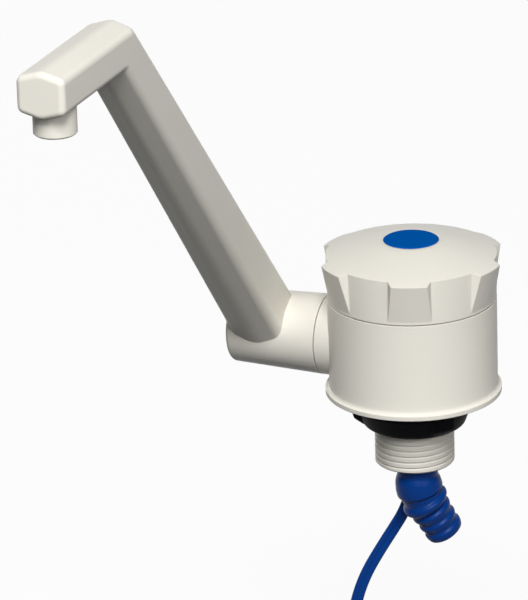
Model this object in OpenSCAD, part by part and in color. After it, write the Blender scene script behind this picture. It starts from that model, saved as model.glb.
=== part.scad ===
// Fold-down cold-water tap with a built-in pump switch, in millimetres.
// Z points up, and the origin is on the knob's axis in the plane of the worktop.
// The spout leans towards -Y and folds about the hub, whose axis is parallel to X.

/* [Tap body] */
// Outer radius of the body
body_r = 28.5; // [28:0.25:32]
// Height of the body above the worktop
body_h = 33.2; // [33.2:0.2:38]
// Thickness of the body's wall
body_wall = 2.5; // [2:0.1:3]
// Thickness of the body's floor
floor_t = 4; // [3.6:0.1:4.6]
// How far the foot rim stands out from the body
rim_out = 1.3; // [0.5:0.1:3]
// Height of the foot rim
rim_h = 1.5; // [1:0.1:3]
// Height of the lip that guides the knob's skirt
lip_h = 2; // [1:0.1:2.4]
// Thickness of that lip
lip_t = 1.4; // [1:0.1:2]

/* [Shank and nut] */
// Outer radius of the shank's thread
shank_r = 13.5; // [13.5:0.05:14.5]
// Length of the shank below the worktop
shank_l = 25.8; // [20:0.2:40]
// Radius of the shank's bore
shank_bore_r = 10.8; // [10.8:0.05:11.2]
// Height of the fixing nut
nut_h = 8.8; // [7:0.1:10]
// Outer radius of the nut at its lower end
nut_r = 17.2; // [16.5:0.1:18]
// Outer radius of the nut at its upper end
nut_top_r = 19.4; // [18.4:0.1:21]
// Height of the straight flange at the nut's upper end
nut_flange_h = 2; // [1:0.1:3]
// Radius to the tips of the nut's wings
nut_wing_r = 20.9; // [20:0.1:26]
// Width of each wing
nut_wing_w = 9; // [8:0.5:16]
// Number of wings
nut_wings = 3; // [2:1:6]
// Gap between the worktop plane and the clamp washer
washer_drop = 1.7; // [1.2:0.1:4]
// Thickness of the clamp washer
washer_t = 1.5; // [1:0.1:3]
// Outer radius of the clamp washer
washer_r = 19.4; // [17.5:0.1:21]
// Outer radius of the gasket under the foot
gasket_r = 24.5; // [20:0.5:27]
// Thickness of that gasket
gasket_t = 1.2; // [0.8:0.1:1.6]

/* [Knob] */
// Height of the knob's grip
knob_h = 14.65; // [14:0.05:18]
// Gap between the body and the knob
knob_gap = 0.35; // [0.3:0.05:0.8]
// Radius of the grip between its lobes
knob_r = 28.9; // [28.7:0.1:30]
// Radius to the lobes at the top of the grip
lobe_r = 31.5; // [30.5:0.1:33]
// Number of lobes
lobes = 6; // [4:1:8]
// Width of each lobe, in degrees
lobe_angle = 21.5; // [16:0.5:26]
// Slope of each lobe's flank, in degrees of turn
lobe_flank = 3.4; // [2:0.1:5]
// Turn of the first lobe from the front, in degrees
lobe_turn = 18.5; // [0:0.5:30]
// Rise of the domed top above the rim
dome_h = 5.4; // [4:0.1:7]
// Wall of the knob
knob_wall = 2.4; // [2:0.1:3]
// Radius of the coloured disc
disc_r = 9.35; // [8:0.05:11]
// Thickness of the coloured disc
disc_t = 1.2; // [1:0.1:1.6]
// Turn of the knob from shut to open, in degrees
knob_turn = 90; // [90:1:90]

/* [Hub and spigot] */
// Height of the hub's axis above the worktop
hub_z = 16.3; // [16.3:0.1:17.5]
// Radius of the hub at its seam with the body's stub
hub_r = 13.7; // [13.4:0.1:14.5]
// Radius of the hub at its outer end
hub_end_r = 12.65; // [12.4:0.05:13.4]
// Distance from the knob's axis to the seam
seam_x = 30.8; // [30.6:0.1:34]
// Width of the gap at the seam
seam_gap = 0.35; // [0.3:0.05:0.6]
// How far the hub reaches past the arm's middle
hub_over = 12.9; // [12.9:0.1:18]
// Rounding of the hub's outer edge
hub_edge = 1.5; // [0.5:0.1:2]
// Radius of the spigot that the hub turns on
spigot_r = 9.95; // [9.6:0.05:10.1]
// Radius of the water way through the spigot
spigot_bore_r = 3.5; // [2.5:0.1:4]
// Travel of the spout from upright to folded, in degrees
fold_angle = 48; // [40:1:50]

/* [Spout] */
// Distance from the knob's axis to the arm's middle
arm_x = 50.5; // [49:0.1:52]
// Width of the arm and of the head
arm_w = 16; // [15:0.1:18]
// Width of the arm at the hub
arm_foot_w = 19.2; // [16:0.1:19.6]
// Distance from the knob's axis to the arm's middle at the hub
arm_foot_x = 52.1; // [51:0.1:52.4]
// Depth of the arm's side face at the hub
arm_foot_d = 17; // [15:0.5:19]
// How far the arm's line passes behind the hub's axis
arm_foot_back = 0.5; // [-1:0.1:1]
// Reach from the hub's axis to the nozzle
reach = 171; // [120:1:200]
// Height of the head's upper ridge above the worktop
head_top = 164.2; // [120:0.2:200]
// Height of the head's flat side
head_side = 11.3; // [10.5:0.1:14]
// Rise of the head's two gables
head_gable = 2.2; // [1:0.1:4]
// Rise of the arm's gables at the hub
foot_gable = 2.6; // [1:0.1:3.5]
// Length of the head's upper edge
head_l = 54.8; // [45:0.2:70]
// Distance from the nozzle's middle to the front face
head_front = 10.5; // [9:0.1:14]
// How far the inner bend lies in front of the outer one
bend_out = 6.3; // [4:0.1:9]
// Rounding of the spout's edges
spout_edge = 1.3; // [0.5:0.1:1.5]
// Radius of the water way through the arm and the head
arm_bore_r = 3.4; // [2.5:0.1:4]
// Radius of the nozzle
nozzle_r = 6.8; // [6:0.1:7]
// How far the nozzle shows below the head
nozzle_drop = 6.9; // [4:0.1:12]
// Bore of the nozzle
nozzle_bore_r = 5; // [4:0.1:5.4]

/* [Hose tail] */
// Offset of the hose tail from the knob's axis, to the right
tail_x = 2; // [1.8:0.1:2]
// Offset of the hose tail from the knob's axis, to the front
tail_out = 3; // [2.8:0.1:3]
// Outer radius of the tail's straight part
tail_r = 6.9; // [6:0.1:6.9]
// Bore of the hose tail
tail_bore_r = 3.6; // [3:0.1:3.8]
// Outer radius of the tail's elbow
elbow_r = 7.75; // [7:0.05:7.8]
// Depth of the tail's bend below the worktop
tail_bend_z = 35.6; // [35:0.2:50]
// Bend of the tail from upright, in degrees
tail_bend = 30; // [0:1:45]
// Direction of the bent part, in degrees from +X
tail_turn = 36; // [0:1:60]
// Length of the bent part, from the bend to its tip
barb_l = 20; // [17:0.5:30]
// Distance from the bend to the collar that stops the hose
collar_at = 7.3; // [6:0.1:9]
// Radius of that collar
collar_r = 7.95; // [7.5:0.05:8.5]
// Number of barbs below the collar
barbs = 2; // [2:1:5]
// Radius of the first barb
barb_r = 7.1; // [6.8:0.1:7.5]
// Radius of the last barb
barb_tip_r = 6.8; // [5.8:0.1:7]

/* [Switch cable] */
// Width of the twin cable
cable_w = 4.2; // [3.6:0.1:4.6]
// Thickness of the twin cable
cable_t = 2.1; // [1.8:0.1:2.3]
// Radius of the coil at the middle of the cable
coil_r = 23; // [21:0.5:25]
// Number of turns in the coil
coil_turns = 3.25; // [2.25:1:5.25]
// Gap between two turns of the coil
coil_gap = 0.6; // [0.5:0.1:1]

/* [Hidden] */
$fn = 72;

// Clearances, each used wherever that kind of fit occurs
run_gap = 0.05;
loose_gap = 0.3;
seat_gap = 0.02;
eps = 0.01;

// Colours
white = [0.93, 0.92, 0.87];
black = [0.05, 0.05, 0.06];
blue = [0.05, 0.22, 0.58];
steel = [0.7, 0.71, 0.73];
brass = [0.78, 0.62, 0.3];
acetal = [0.86, 0.86, 0.83];
red = [0.75, 0.12, 0.1];

// Body
body_in = body_r - body_wall;
lip_in = body_in - 0.4 - lip_t;
rim_r = body_r + rim_out;
rim_fillet = 1.5;
stub_face = seam_x - seam_gap / 2;
hub_face = seam_x + seam_gap / 2;
stub_in = 21;
stub_shoulder = 23;

// Knob, from the body's top upwards
knob_z = body_h + knob_gap;
knob_top = knob_z + knob_h;
skirt_r = body_r - 0.1;
skirt_in = body_in;
lobe_foot_r = skirt_r - 0.2;
disc_z = knob_top + dome_h + 0.3;
knob_screw_in = 3.4;
knob_screw_l = 9;
ring_w = 1.3;
ring_h = 0.35;
dome_power = 1.15;
rim_fall = 0.3;
post_r = 6.6;
knob_rib_w = 1.6;
drive_w = 6;

// Nut
nut_turn = 200;
nut_chamfer = 0.8;
wing_slope = 1.2;
wing_drop = 0.3;

// Valve, from the floor upwards
housing_r = 12.5;
chamber_r = 8;
chamber_z = 9;
housing_top = 27;
rotor_r = chamber_r - run_gap;
rotor_top = 24;
rotor_bore_r = 4.5;
window_r = 3.2;
neck_r = 4;
spindle_top = knob_top - 3.6;
gland_top = 29;
gland_hex_r = 8.4;
channel_top = 7.4;
lug_turn = 60;
lug_r = 3.6;
lug_at = housing_r + lug_r + 0.1;
lug_z = 7;
lug_t = 2.5;
screw_r = 1.5;
screw_l = lug_t + 4.3;
screw_head_r = 2.7;
screw_head_h = 1.7;
screw_gap = 0.15;
screw_floor = 0.8;
shelf_rib_w = 4;
shelf_rib_h = 6;

// Inlet socket and the plug of the hose tail
socket_r = 5.4;
socket_z = -9.5;
socket_out = 7.15;
plug_top = 2;
plug_seal_z = -4;

// Spigot, as distances from the knob's axis
nose_in = 10;
nose_r = 6.6;
nose_seal_at = 15.5;
clip_t = 1.5;
clip_at = stub_in - clip_t;
spigot_boss_r = 9;
hub_l = arm_x + hub_over - hub_face;
port_w = 2 * arm_bore_r + 0.6;
port_r = 7.4;
port_hole_r = 2;
seal_r = 0.9;
seal_w = 2;
seal_land = 0.6;
seal_at = port_w / 2 + seal_land + seal_w / 2;
journal_end = arm_x + seal_at + seal_w / 2 + 0.8;
hub_bore_r = spigot_r + run_gap;
shoulder_t = 1.6;
spigot_end = journal_end + shoulder_t;
tip_r = 5.9;
cap_r = 9.4;
cap_t = 1.4;
hub_washer_t = 0.8;
stop_r = 10.9;
stop_w = 1.4;
stop_h = 2;
stop_angle = 20;
stop_spare = 1.5;

// Spout, in the plane of the arm: y to the rear and z up
bend_top = [-(reach + head_front - head_l), head_top - head_gable];
bend_low = [bend_top[0] - bend_out, bend_top[1] - head_side];
front_y = -(reach + head_front);
elbow = (bend_top + bend_low) / 2;
foot = [arm_foot_back, hub_z];
lean = atan2(foot[0] - elbow[0], elbow[1] - foot[1]);
arm_l = norm(elbow - foot);
under = [-cos(lean), -sin(lean)];
head_low = head_top - head_side - 2 * head_gable;
nozzle_z = head_low - nozzle_drop;
nozzle_in = 3.2;
head_bore_r = arm_bore_r - 0.3;
grid_t = 2.5;
grid_up = 1.5;
grid_hole_r = 0.75;

// Switch, beside the spindle
switch_w = 12.8;
switch_d = 6.5;
switch_h = 5.8;
switch_x = 12.2;
switch_z = 27.1;
shelf_t = 2.6;
pivot = [11.6, 5.6];
lever_t = 0.5;
lever_w = 3;
lever_l = 11.6;
lever_lean = 8;
lever_turn = 6.5;
lever_pin_r = 0.4;
eye_r = 0.85;
ear_t = 1;
bump_at = 10.2;
bump_r = 1.2;
plunger_y = -0.5;
plunger_w = 1.4;
contact_gap = 0.12;
cam_z = 29.4;
cam_t = 3;
tab_w = 1.6;
tab_t = 0.5;
tab_l = 3.2;
tab_gap = 4.6;

// Hose tail
elbow_neck = 0.4;
barb_step = 0.8;

// Cable
cable_turn = 20;
cable_exit = [-4, 8, -shank_l];
clamp_turn = atan2(cable_exit[1], cable_exit[0]);
clamp_at = 18.5;
clamp_w = 15;
clamp_d = 4.4;
clamp_t = 2.4;
clamp_boss = 5.2;
clamp_boss_r = 2;
clamp_screw_r = 1;
clamp_screw_l = clamp_t + 3.2;
route = [
  cable_exit,
  [-4, 8, -31], [-4.2, 7.9, -36], [-4.8, 7.7, -41], [-5.8, 7.3, -45.5], [-7.6, 6.6, -50],
  [-9.9, 5.8, -54.2], [-12.9, 4.7, -59.4], [-15.8, 3.6, -64.6], [-18.4, 2.6, -69.6], [-20.6, 1.8, -74.8],
  [-22.3, 1.2, -80.2], [-23.6, 0.7, -86], [-24.5, 0.4, -92], [-25, 0.1, -98], [-25.2, 0, -104],
  [-25.2, 0, -110], [-25.2, 0, -116], [-25.2, 0, -122]
];
cable_rest = floor_t + cable_t / 2 + eps;
inner_route = [
  cable_exit, [-4, 8, -18], [-4, 8, -8], [-4, 8, -1], [-4, 8, 2.5], [-4.2, 8.5, 4.7], [-4.9, 9.8, 6.1],
  [-5.8, 11.5, 6.2], [-6.5, 13.1, 5.4],
  [-7.2, 14.5, cable_rest], [-8.3, 16.6, cable_rest], [-9.2, 18.4, cable_rest]
];
lead_out = body_in - 3.6;
lead_route = [
  [-9.25, 18.5, cable_rest], [-9.8, 19.6, cable_rest], [-9.9, lead_out - 1.4, 6.6],
  [-8.2, lead_out - 0.4, 8.2], [-4, lead_out, 9.4], [3, lead_out - 0.2, 11.2],
  [10, lead_out - 2.4, 14.5], [16.4, 15.6, 18]
];
lead_rear = [[20.6, 10, 23], [21.2, 6, 25.6]];
lead_front = [[18.6, 10.4, 20], [20.4, 4.8, 22], [21.2, 0, 24]];
coil_pitch = cable_w + coil_gap;
coil_axis = [cos(cable_turn), sin(cable_turn), 0];
coil_away = [-sin(cable_turn), cos(cable_turn), 0];
coil_rings = 24;
tie_t = 1;
tie_w = 3.6;
tie_gap = 0.5;
tie_head_w = 5;
tie_head_l = 2.4;
core_r = 0.55;
core_l = 8;
core_out = 0.1;
core_gap = cable_w / 2;
lead_d = 1.7;

// Unit vector of a vector
function unit(v) = v / norm(v);

// Point at an angle on a circle
function polar(r, a) = [r * cos(a), r * sin(a)];

// Arc of points round the origin, from one angle to another
function arc(r, a0, a1, n = 12) = [for (i = [0:n]) polar(r, a0 + (a1 - a0) * i / n)];

// Ring sector, for a slot or a lug
module sector(r0, r1, a0, a1, h) {
  linear_extrude(h) polygon(concat(arc(r1, a0, a1), arc(r0, a1, a0)));
}

// Local z runs along the hub's axis, away from the knob, and local x points up
module along_hub() {
  translate([0, 0, hub_z]) rotate([0, -90, 0]) children();
}

// Pipe with a flat bottom, standing on z
module pipe(r, bore, z0, z1) {
  translate([0, 0, z0]) difference() {
    cylinder(r = r, h = z1 - z0);
    translate([0, 0, -eps]) cylinder(r = bore, h = z1 - z0 + 2 * eps);
  }
}

// Toroidal seal lying in the xy plane
module o_ring(r, minor, z) {
  translate([0, 0, z]) rotate_extrude() translate([r - minor, 0]) circle(minor, $fn = 24);
}

// Pan-head screw pointing down, with its head's underside at z = 0
module screw(r, length, head_r, head_h) {
  difference() {
    union() {
      cylinder(r1 = head_r, r2 = head_r * 0.8, h = head_h, $fn = 32);
      translate([0, 0, -length]) cylinder(r = r, h = length + eps, $fn = 32);
    }
    for (a = [0, 90]) rotate(a) translate([0, 0, head_h])
      cube([head_r * 1.2, head_r * 0.28, head_h], center = true);
  }
}

// Square drive with its corners turned off, or the hole for it, from one height to another
module drive(gap, z0, z1) {
  translate([0, 0, z0]) linear_extrude(z1 - z0) intersection() {
    square(drive_w + 2 * gap, center = true);
    circle(neck_r - run_gap + gap);
  }
}

// Faces of a tube whose rings have the same number of points
function tube_faces(rings, sides) = concat(
  [[for (i = [sides - 1:-1:0]) i]],
  [for (k = [0:rings - 2], i = [0:sides - 1])
    [k * sides + i, k * sides + (i + 1) % sides, (k + 1) * sides + i]],
  [for (k = [0:rings - 2], i = [0:sides - 1])
    [k * sides + (i + 1) % sides, (k + 1) * sides + (i + 1) % sides, (k + 1) * sides + i]],
  [[for (i = [0:sides - 1]) (rings - 1) * sides + i]]
);

// Direction of a route at one of its points
function heading(path, i) = unit(path[min(i + 1, len(path) - 1)] - path[max(i - 1, 0)]);

// Tube of elliptical section along a route, with its width held near one direction
module swept(path, across, w, t, sides = 8) {
  points = [for (i = [0:len(path) - 1])
    let (d = i == 0 ? unit(path[1] - path[0]) : heading(path, i), v = unit(cross(d, across)), u = cross(v, d))
    for (k = [0:sides - 1]) let (a = 360 * k / sides)
      path[i] + u * (w / 2) * cos(a) - v * (t / 2) * sin(a)];
  polyhedron(points, tube_faces(len(path), sides), convexity = 8);
}

// Puts its children on the axis of each screw of the housing
module at_lugs() {
  for (side = [0, 180]) rotate(lug_turn + side) translate([lug_at, 0, 0]) children();
}

// Puts its children on the axis of each screw of the cable clamp
module at_clamp_bosses() {
  for (side = [-1, 1]) rotate(clamp_turn) translate([clamp_at, side * clamp_boss, 0]) children();
}

// Body shell with its floor, stub and hollow threaded shank, in one moulding
module tap_body() color(white) difference() {
  union() {
    rotate_extrude($fn = 120) polygon(concat(
      [[0, 0], [rim_r, 0], [rim_r, rim_h]],
      [for (a = [0:15:90]) [rim_r - rim_out * sin(a), rim_h + rim_fillet * (1 - cos(a))]],
      [[body_r, body_h], [lip_in + lip_t, body_h], [lip_in + lip_t, body_h + lip_h], [0, body_h + lip_h]]
    ));
    translate([0, 0, -shank_l]) cylinder(r = shank_r, h = shank_l + eps);
    along_hub() translate([0, 0, stub_in]) cylinder(r = hub_r, h = stub_face - stub_in);
  }
  difference() {
    union() {
      translate([0, 0, floor_t]) cylinder(r = body_in, h = body_h - floor_t - lip_t);
      translate([0, 0, body_h - lip_t - eps]) cylinder(r1 = body_in, r2 = lip_in, h = lip_t + eps);
      translate([0, 0, body_h - eps]) cylinder(r = lip_in, h = lip_h + 1);
    }
    along_hub() translate([0, 0, stub_in]) cylinder(r = hub_r, h = stub_face - stub_in);
    at_lugs() cylinder(r = lug_r, h = lug_z);
    at_clamp_bosses() cylinder(r = clamp_boss_r, h = floor_t + cable_t);
  }
  translate([0, 0, -shank_l - eps]) cylinder(r = shank_bore_r, h = shank_l + floor_t + 1);
  pipe(gasket_r, shank_r + 1, -1, gasket_t);
  along_hub() {
    translate([0, 0, stub_in - 1]) cylinder(r = nose_r + 0.1, h = 4);
    translate([0, 0, stub_shoulder]) cylinder(r = hub_bore_r, h = 10);
    translate([0, 0, stub_face - stop_h - 0.4]) rotate(180 - fold_angle / 2 - stop_angle / 2 - stop_spare)
      sector(stop_r - 0.2, stop_r + stop_w + 0.2, 0, fold_angle + stop_angle + 2 * stop_spare, 4);
  }
  at_lugs() translate([0, 0, gasket_t + screw_floor]) cylinder(r = screw_r, h = lug_z, $fn = 32);
  at_clamp_bosses() translate([0, 0, gasket_t + screw_floor])
    cylinder(r = clamp_screw_r, h = lug_z, $fn = 24);
}

// Flat rubber ring let into the underside of the foot
module deck_gasket() color(black) pipe(gasket_r - seat_gap, shank_r + 1 + seat_gap, 0, gasket_t - seat_gap);

// Slip washer between the nut and the worktop
module clamp_washer() color(black) pipe(washer_r, shank_r + run_gap, -washer_drop - washer_t, -washer_drop);

// Conical nut with wings that clamps the tap from below
module fixing_nut() color(black) {
  bottom = -washer_drop - washer_t - seat_gap - nut_h;
  cone_top = nut_h - nut_flange_h;
  translate([0, 0, bottom]) rotate(nut_turn) {
    rotate_extrude() polygon([
      [shank_r + run_gap, 0], [nut_r - nut_chamfer, 0], [nut_r, nut_chamfer],
      [nut_top_r, cone_top], [nut_top_r, nut_h], [shank_r + run_gap, nut_h]
    ]);
    for (i = [0:nut_wings - 1]) rotate(360 * i / nut_wings) intersection() {
      translate([nut_r - 1, -nut_wing_w / 2, 0]) cube([nut_wing_r, nut_wing_w, nut_h]);
      rotate_extrude() polygon([
        [nut_r - 2, nut_chamfer], [nut_r, nut_chamfer], [nut_wing_r, nut_chamfer + wing_slope],
        [nut_wing_r, nut_h - wing_drop], [nut_r - 2, nut_h - wing_drop]
      ]);
    }
  }
}

// Block on the body's floor that holds the rotor, the inlet socket and the switch shelf
module valve_housing() color(acetal) difference() {
  union() {
    translate([0, 0, floor_t + seat_gap]) cylinder(r = housing_r, h = housing_top - floor_t - seat_gap);
    translate([tail_x, -tail_out, socket_z]) cylinder(r = socket_out, h = floor_t - socket_z + 1);
    along_hub() translate([0, 0, nose_in]) cylinder(r = spigot_boss_r, h = clip_at - 0.2 - nose_in);
    translate([0, 0, lug_z + seat_gap]) {
      rotate(lug_turn) translate([-lug_at, -lug_r, 0]) cube([2 * lug_at, 2 * lug_r, lug_t]);
      at_lugs() cylinder(r = lug_r, h = lug_t, $fn = 32);
    }
    translate([0, -switch_w / 2 - 0.6, housing_top - shelf_t])
      cube([switch_x + switch_d + 0.4, switch_w + 1.2, shelf_t]);
    translate([0, shelf_rib_w / 2, housing_top - shelf_t + eps]) rotate([90, 0, 0])
      linear_extrude(shelf_rib_w) polygon([
        [housing_r - 1, 0], [switch_x + switch_d - 1, 0], [housing_r - 1, -shelf_rib_h]
      ]);
  }
  translate([0, 0, chamber_z]) cylinder(r = chamber_r, h = housing_top);
  translate([tail_x, -tail_out, socket_z - 1]) cylinder(r = socket_r, h = plug_top - socket_z + 1.1);
  translate([tail_x, -tail_out, plug_top]) cylinder(r = neck_r, h = chamber_z - plug_top + 1);
  along_hub() {
    translate([0, 0, 2]) cylinder(r = window_r, h = 12);
    translate([0, 0, nose_in]) cylinder(r = nose_r + seat_gap, h = 15);
  }
  translate([0, 0, floor_t - 1]) rotate(clamp_turn)
    translate([norm([cable_exit[0], cable_exit[1]]) - cable_t / 2 - 0.6, -cable_w / 2 - 0.5, 0])
      cube([12, cable_w + 1, channel_top - floor_t + 1]);
  at_lugs() cylinder(r = screw_r + screw_gap, h = housing_top, $fn = 32);
  for (s = [-1, 1]) translate([switch_x + switch_d - 1.4, s * (switch_w / 2 - 2), housing_top - shelf_t - 1])
    cylinder(r = 0.8, h = 5, $fn = 24);
}

// Two screws that hold the housing to the body's bosses
module housing_screws() color(steel) at_lugs()
  translate([0, 0, lug_z + lug_t + 2 * seat_gap])
    screw(screw_r - seat_gap, screw_l, screw_head_r, screw_head_h);

// Hollow quarter-turn rotor with its window, neck and square drive
module valve_spindle() color(brass) difference() {
  union() {
    translate([0, 0, chamber_z + 0.1]) cylinder(r = rotor_r, h = rotor_top - chamber_z - 0.1);
    translate([0, 0, rotor_top - eps]) cylinder(r = neck_r - run_gap, h = cam_z - rotor_top - seat_gap + eps);
    drive(0, cam_z - 2 * seat_gap, spindle_top);
  }
  translate([0, 0, chamber_z]) cylinder(r = rotor_bore_r, h = 11);
  translate([0, 0, hub_z]) rotate([0, 90, 90]) cylinder(r = window_r, h = 12);
  for (z = [chamber_z + 1.6, rotor_top - 2.2]) pipe(rotor_r + 1, rotor_r - 1.2, z - 0.95, z + 0.95);
  translate([0, 0, spindle_top - 8]) cylinder(r = 1.6, h = 9, $fn = 32);
}

// Two seals in the rotor's grooves
module spindle_seals() color(black) for (z = [chamber_z + 1.6, rotor_top - 2.2]) o_ring(rotor_r, 0.6, z);

// Threaded gland that keeps the rotor in the housing
module gland_nut() color(brass) difference() {
  union() {
    translate([0, 0, rotor_top + 0.2]) cylinder(r = chamber_r - seat_gap, h = gland_top - rotor_top - 0.3);
    translate([0, 0, housing_top + seat_gap])
      cylinder(r = gland_hex_r, h = gland_top - housing_top - seat_gap, $fn = 6);
  }
  translate([0, 0, rotor_top]) cylinder(r = neck_r, h = 10);
}

// Fixed tube that carries the hub and leads the water into the arm
module outlet_spigot() color(brass) along_hub() difference() {
  union() {
    translate([0, 0, nose_in + seat_gap]) cylinder(r = nose_r, h = stub_shoulder - nose_in);
    translate([0, 0, stub_shoulder + seat_gap]) cylinder(r = spigot_r, h = journal_end - stub_shoulder - 0.2);
    translate([0, 0, stub_shoulder]) cylinder(r = tip_r, h = spigot_end - stub_shoulder);
  }
  translate([0, 0, 1]) cylinder(r = spigot_bore_r, h = arm_x + port_hole_r - 0.4);
  pipe(nose_r + 1, nose_r - 1.3, clip_at, clip_at + clip_t);
  pipe(nose_r + 1, nose_r - 1.2, nose_seal_at - 0.95, nose_seal_at + 0.95);
  pipe(spigot_r + 1, port_r, arm_x - port_w / 2, arm_x + port_w / 2);
  for (at = [arm_x - seal_at, arm_x + seal_at])
    pipe(spigot_r + 1, spigot_r - 2 * seal_r, at - seal_w / 2, at + seal_w / 2);
  translate([0, 0, arm_x]) for (a = [0:90:270]) rotate([90, 0, a])
    translate([0, 0, port_hole_r + 0.2]) cylinder(r = port_hole_r, h = spigot_r, $fn = 40);
  translate([0, 0, spigot_end - 5.4]) cylinder(r = 1.7, h = 10, $fn = 32);
}

// Spring-steel fork that drops over the spigot's neck behind the stub
module spigot_clip() color(steel) along_hub() translate([0, 0, clip_at + seat_gap]) difference() {
  translate([-6.5, -7.8, 0]) cube([15.8, 15.6, clip_t - 2 * seat_gap]);
  translate([0, 0, -1]) cylinder(r = nose_r - 1.3 + seat_gap, h = 4);
  translate([-10, -nose_r + 1.3 - seat_gap, -1]) cube([10, 2 * (nose_r - 1.3 + seat_gap), 4]);
}

// Seal round the spigot's inner end
module nose_seal() color(black) along_hub() o_ring(nose_r, 0.6, nose_seal_at);

// Two seals on either side of the port
module hub_seals() color(black) along_hub() for (s = [-1, 1])
  o_ring(spigot_r - seat_gap, seal_r - seat_gap, arm_x + s * seal_at);

// Washer that keeps the hub on the spigot
module hub_washer() color(steel) along_hub() pipe(8.6, 2.1, spigot_end + seat_gap, spigot_end + hub_washer_t);

// Screw through that washer
module hub_screw() color(steel) along_hub()
  translate([0, 0, spigot_end + hub_washer_t + seat_gap]) screw(1.68, 6, 3.2, 1.3);

// Gabled six-cornered section with rounded corners: [sideways, upwards] points about its middle
function gabled(w, side, gable, r) = let (
    corners = [[w / 2, -side / 2], [w / 2, side / 2], [0, side / 2 + gable],
      [-w / 2, side / 2], [-w / 2, -side / 2], [0, -side / 2 - gable]])
  [for (i = [0:5]) let (
      c = corners[i], a = unit(corners[(i + 5) % 6] - c), b = unit(corners[(i + 1) % 6] - c),
      half = acos(a * b) / 2, mid = c + unit(a + b) * r / sin(half), from = atan2(-(a + b)[1], -(a + b)[0]))
    for (k = [-1:1]) mid + polar(r, from + k * (90 - half))];

// The same section as a ring of points, standing at a place along the arm and turned to a direction
function ring_at(place, up, w, side, gable, r, x = arm_x) =
  [for (p = gabled(w, side, gable, r)) [p[0] - x, place[0] + up[0] * p[1], place[1] + up[1] * p[1]]];

// Spout: hub, arm and head in one moulding, with the water way inside
module spout() color(white) {
  e = spout_edge;
  mitre_up = (bend_top - bend_low) / head_side;
  rings = concat(
    [for (a = [0, 45, 90]) let (inset = e * (1 - sin(a)))
      ring_at([front_y + e * (1 - cos(a)), elbow[1]], [0, 1],
        arm_w - 2 * inset, head_side - inset, head_gable, e)],
    [ring_at(elbow, mitre_up, arm_w, head_side, head_gable, e),
     ring_at(foot, -under, arm_foot_w, arm_foot_d, foot_gable, e, arm_foot_x)]
  );
  difference() {
    union() {
      polyhedron([for (ring = rings) for (p = ring) p], tube_faces(len(rings), len(rings[0])), convexity = 6);
      along_hub() rotate_extrude($fn = 120) polygon(concat(
        [[0, hub_face], [hub_r, hub_face]],
        [for (a = [0:15:90])
          [hub_end_r - hub_edge * (1 - cos(a)), hub_face + hub_l - hub_edge * (1 - sin(a))]],
        [[0, hub_face + hub_l]]
      ));
      along_hub() translate([0, 0, hub_face - stop_h]) rotate(180 + fold_angle / 2 - stop_angle / 2)
        sector(stop_r, stop_r + stop_w, 0, stop_angle, stop_h + 1);
    }
    along_hub() {
      translate([0, 0, hub_face - 5]) cylinder(r = hub_bore_r, h = journal_end - hub_face + 5);
      translate([0, 0, hub_face]) cylinder(r = tip_r + run_gap, h = hub_l);
      translate([0, 0, spigot_end]) cylinder(r = cap_r + seat_gap, h = hub_l);
    }
    translate([-arm_x, foot[0], foot[1]]) rotate([lean, 0, 0]) cylinder(r = arm_bore_r, h = arm_l + 1);
    translate([-arm_x, -reach - 2, elbow[1]]) rotate([-90, 0, 0])
      cylinder(r = head_bore_r, h = elbow[0] + reach + 4);
    translate([-arm_x, -reach, head_low]) cylinder(r = arm_bore_r, h = elbow[1] - head_low + 1);
    translate([-arm_x, -reach, head_low - 5]) cylinder(r = nozzle_r + seat_gap, h = nozzle_in + 5);
  }
}

// Cap that hides the hub's screw
module hub_cap() color(white) along_hub() {
  translate([0, 0, hub_face + hub_l - cap_t]) cylinder(r = cap_r, h = cap_t - 0.4);
  translate([0, 0, hub_face + hub_l - 0.4 - eps]) cylinder(r1 = cap_r, r2 = cap_r - 0.5, h = 0.4);
  pipe(cap_r, cap_r - 0.45, spigot_end + 0.2, hub_face + hub_l - cap_t + eps);
}

// Round nozzle pressed into the head from below
module nozzle() color(white) translate([-arm_x, -reach, 0]) difference() {
  union() {
    translate([0, 0, nozzle_z]) cylinder(r1 = nozzle_r - 0.5, r2 = nozzle_r, h = 0.5);
    translate([0, 0, nozzle_z + 0.5 - eps]) cylinder(r = nozzle_r, h = head_low + nozzle_in - nozzle_z - 0.5);
  }
  translate([0, 0, nozzle_z - 1]) cylinder(r = nozzle_bore_r, h = nozzle_drop + nozzle_in + 2);
}

// Disc of small holes that straightens the jet
module flow_straightener() color(acetal) translate([-arm_x, -reach, nozzle_z + grid_up]) difference() {
  cylinder(r = nozzle_bore_r - seat_gap, h = grid_t);
  for (ring = [[1, 0], [6, 2], [12, 3.7]], i = [0:ring[0] - 1]) rotate(360 * i / ring[0])
    translate([ring[1], 0, -1]) cylinder(r = grid_hole_r, h = grid_t + 2, $fn = 16);
}

// Outline of one lobe, seen from above
module lobe_plan() {
  half = lobe_angle / 2;
  polygon(concat([[0, 0]], arc(knob_r - 1.5, -half - 2 * lobe_flank, -half - 2 * lobe_flank + 0.1, 1),
    [polar(knob_r, -half - lobe_flank)], arc(lobe_r + 2, -half + lobe_flank / 2, half - lobe_flank / 2),
    [polar(knob_r, half + lobe_flank)],
    arc(knob_r - 1.5, half + 2 * lobe_flank - 0.1, half + 2 * lobe_flank, 1)));
}

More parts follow.
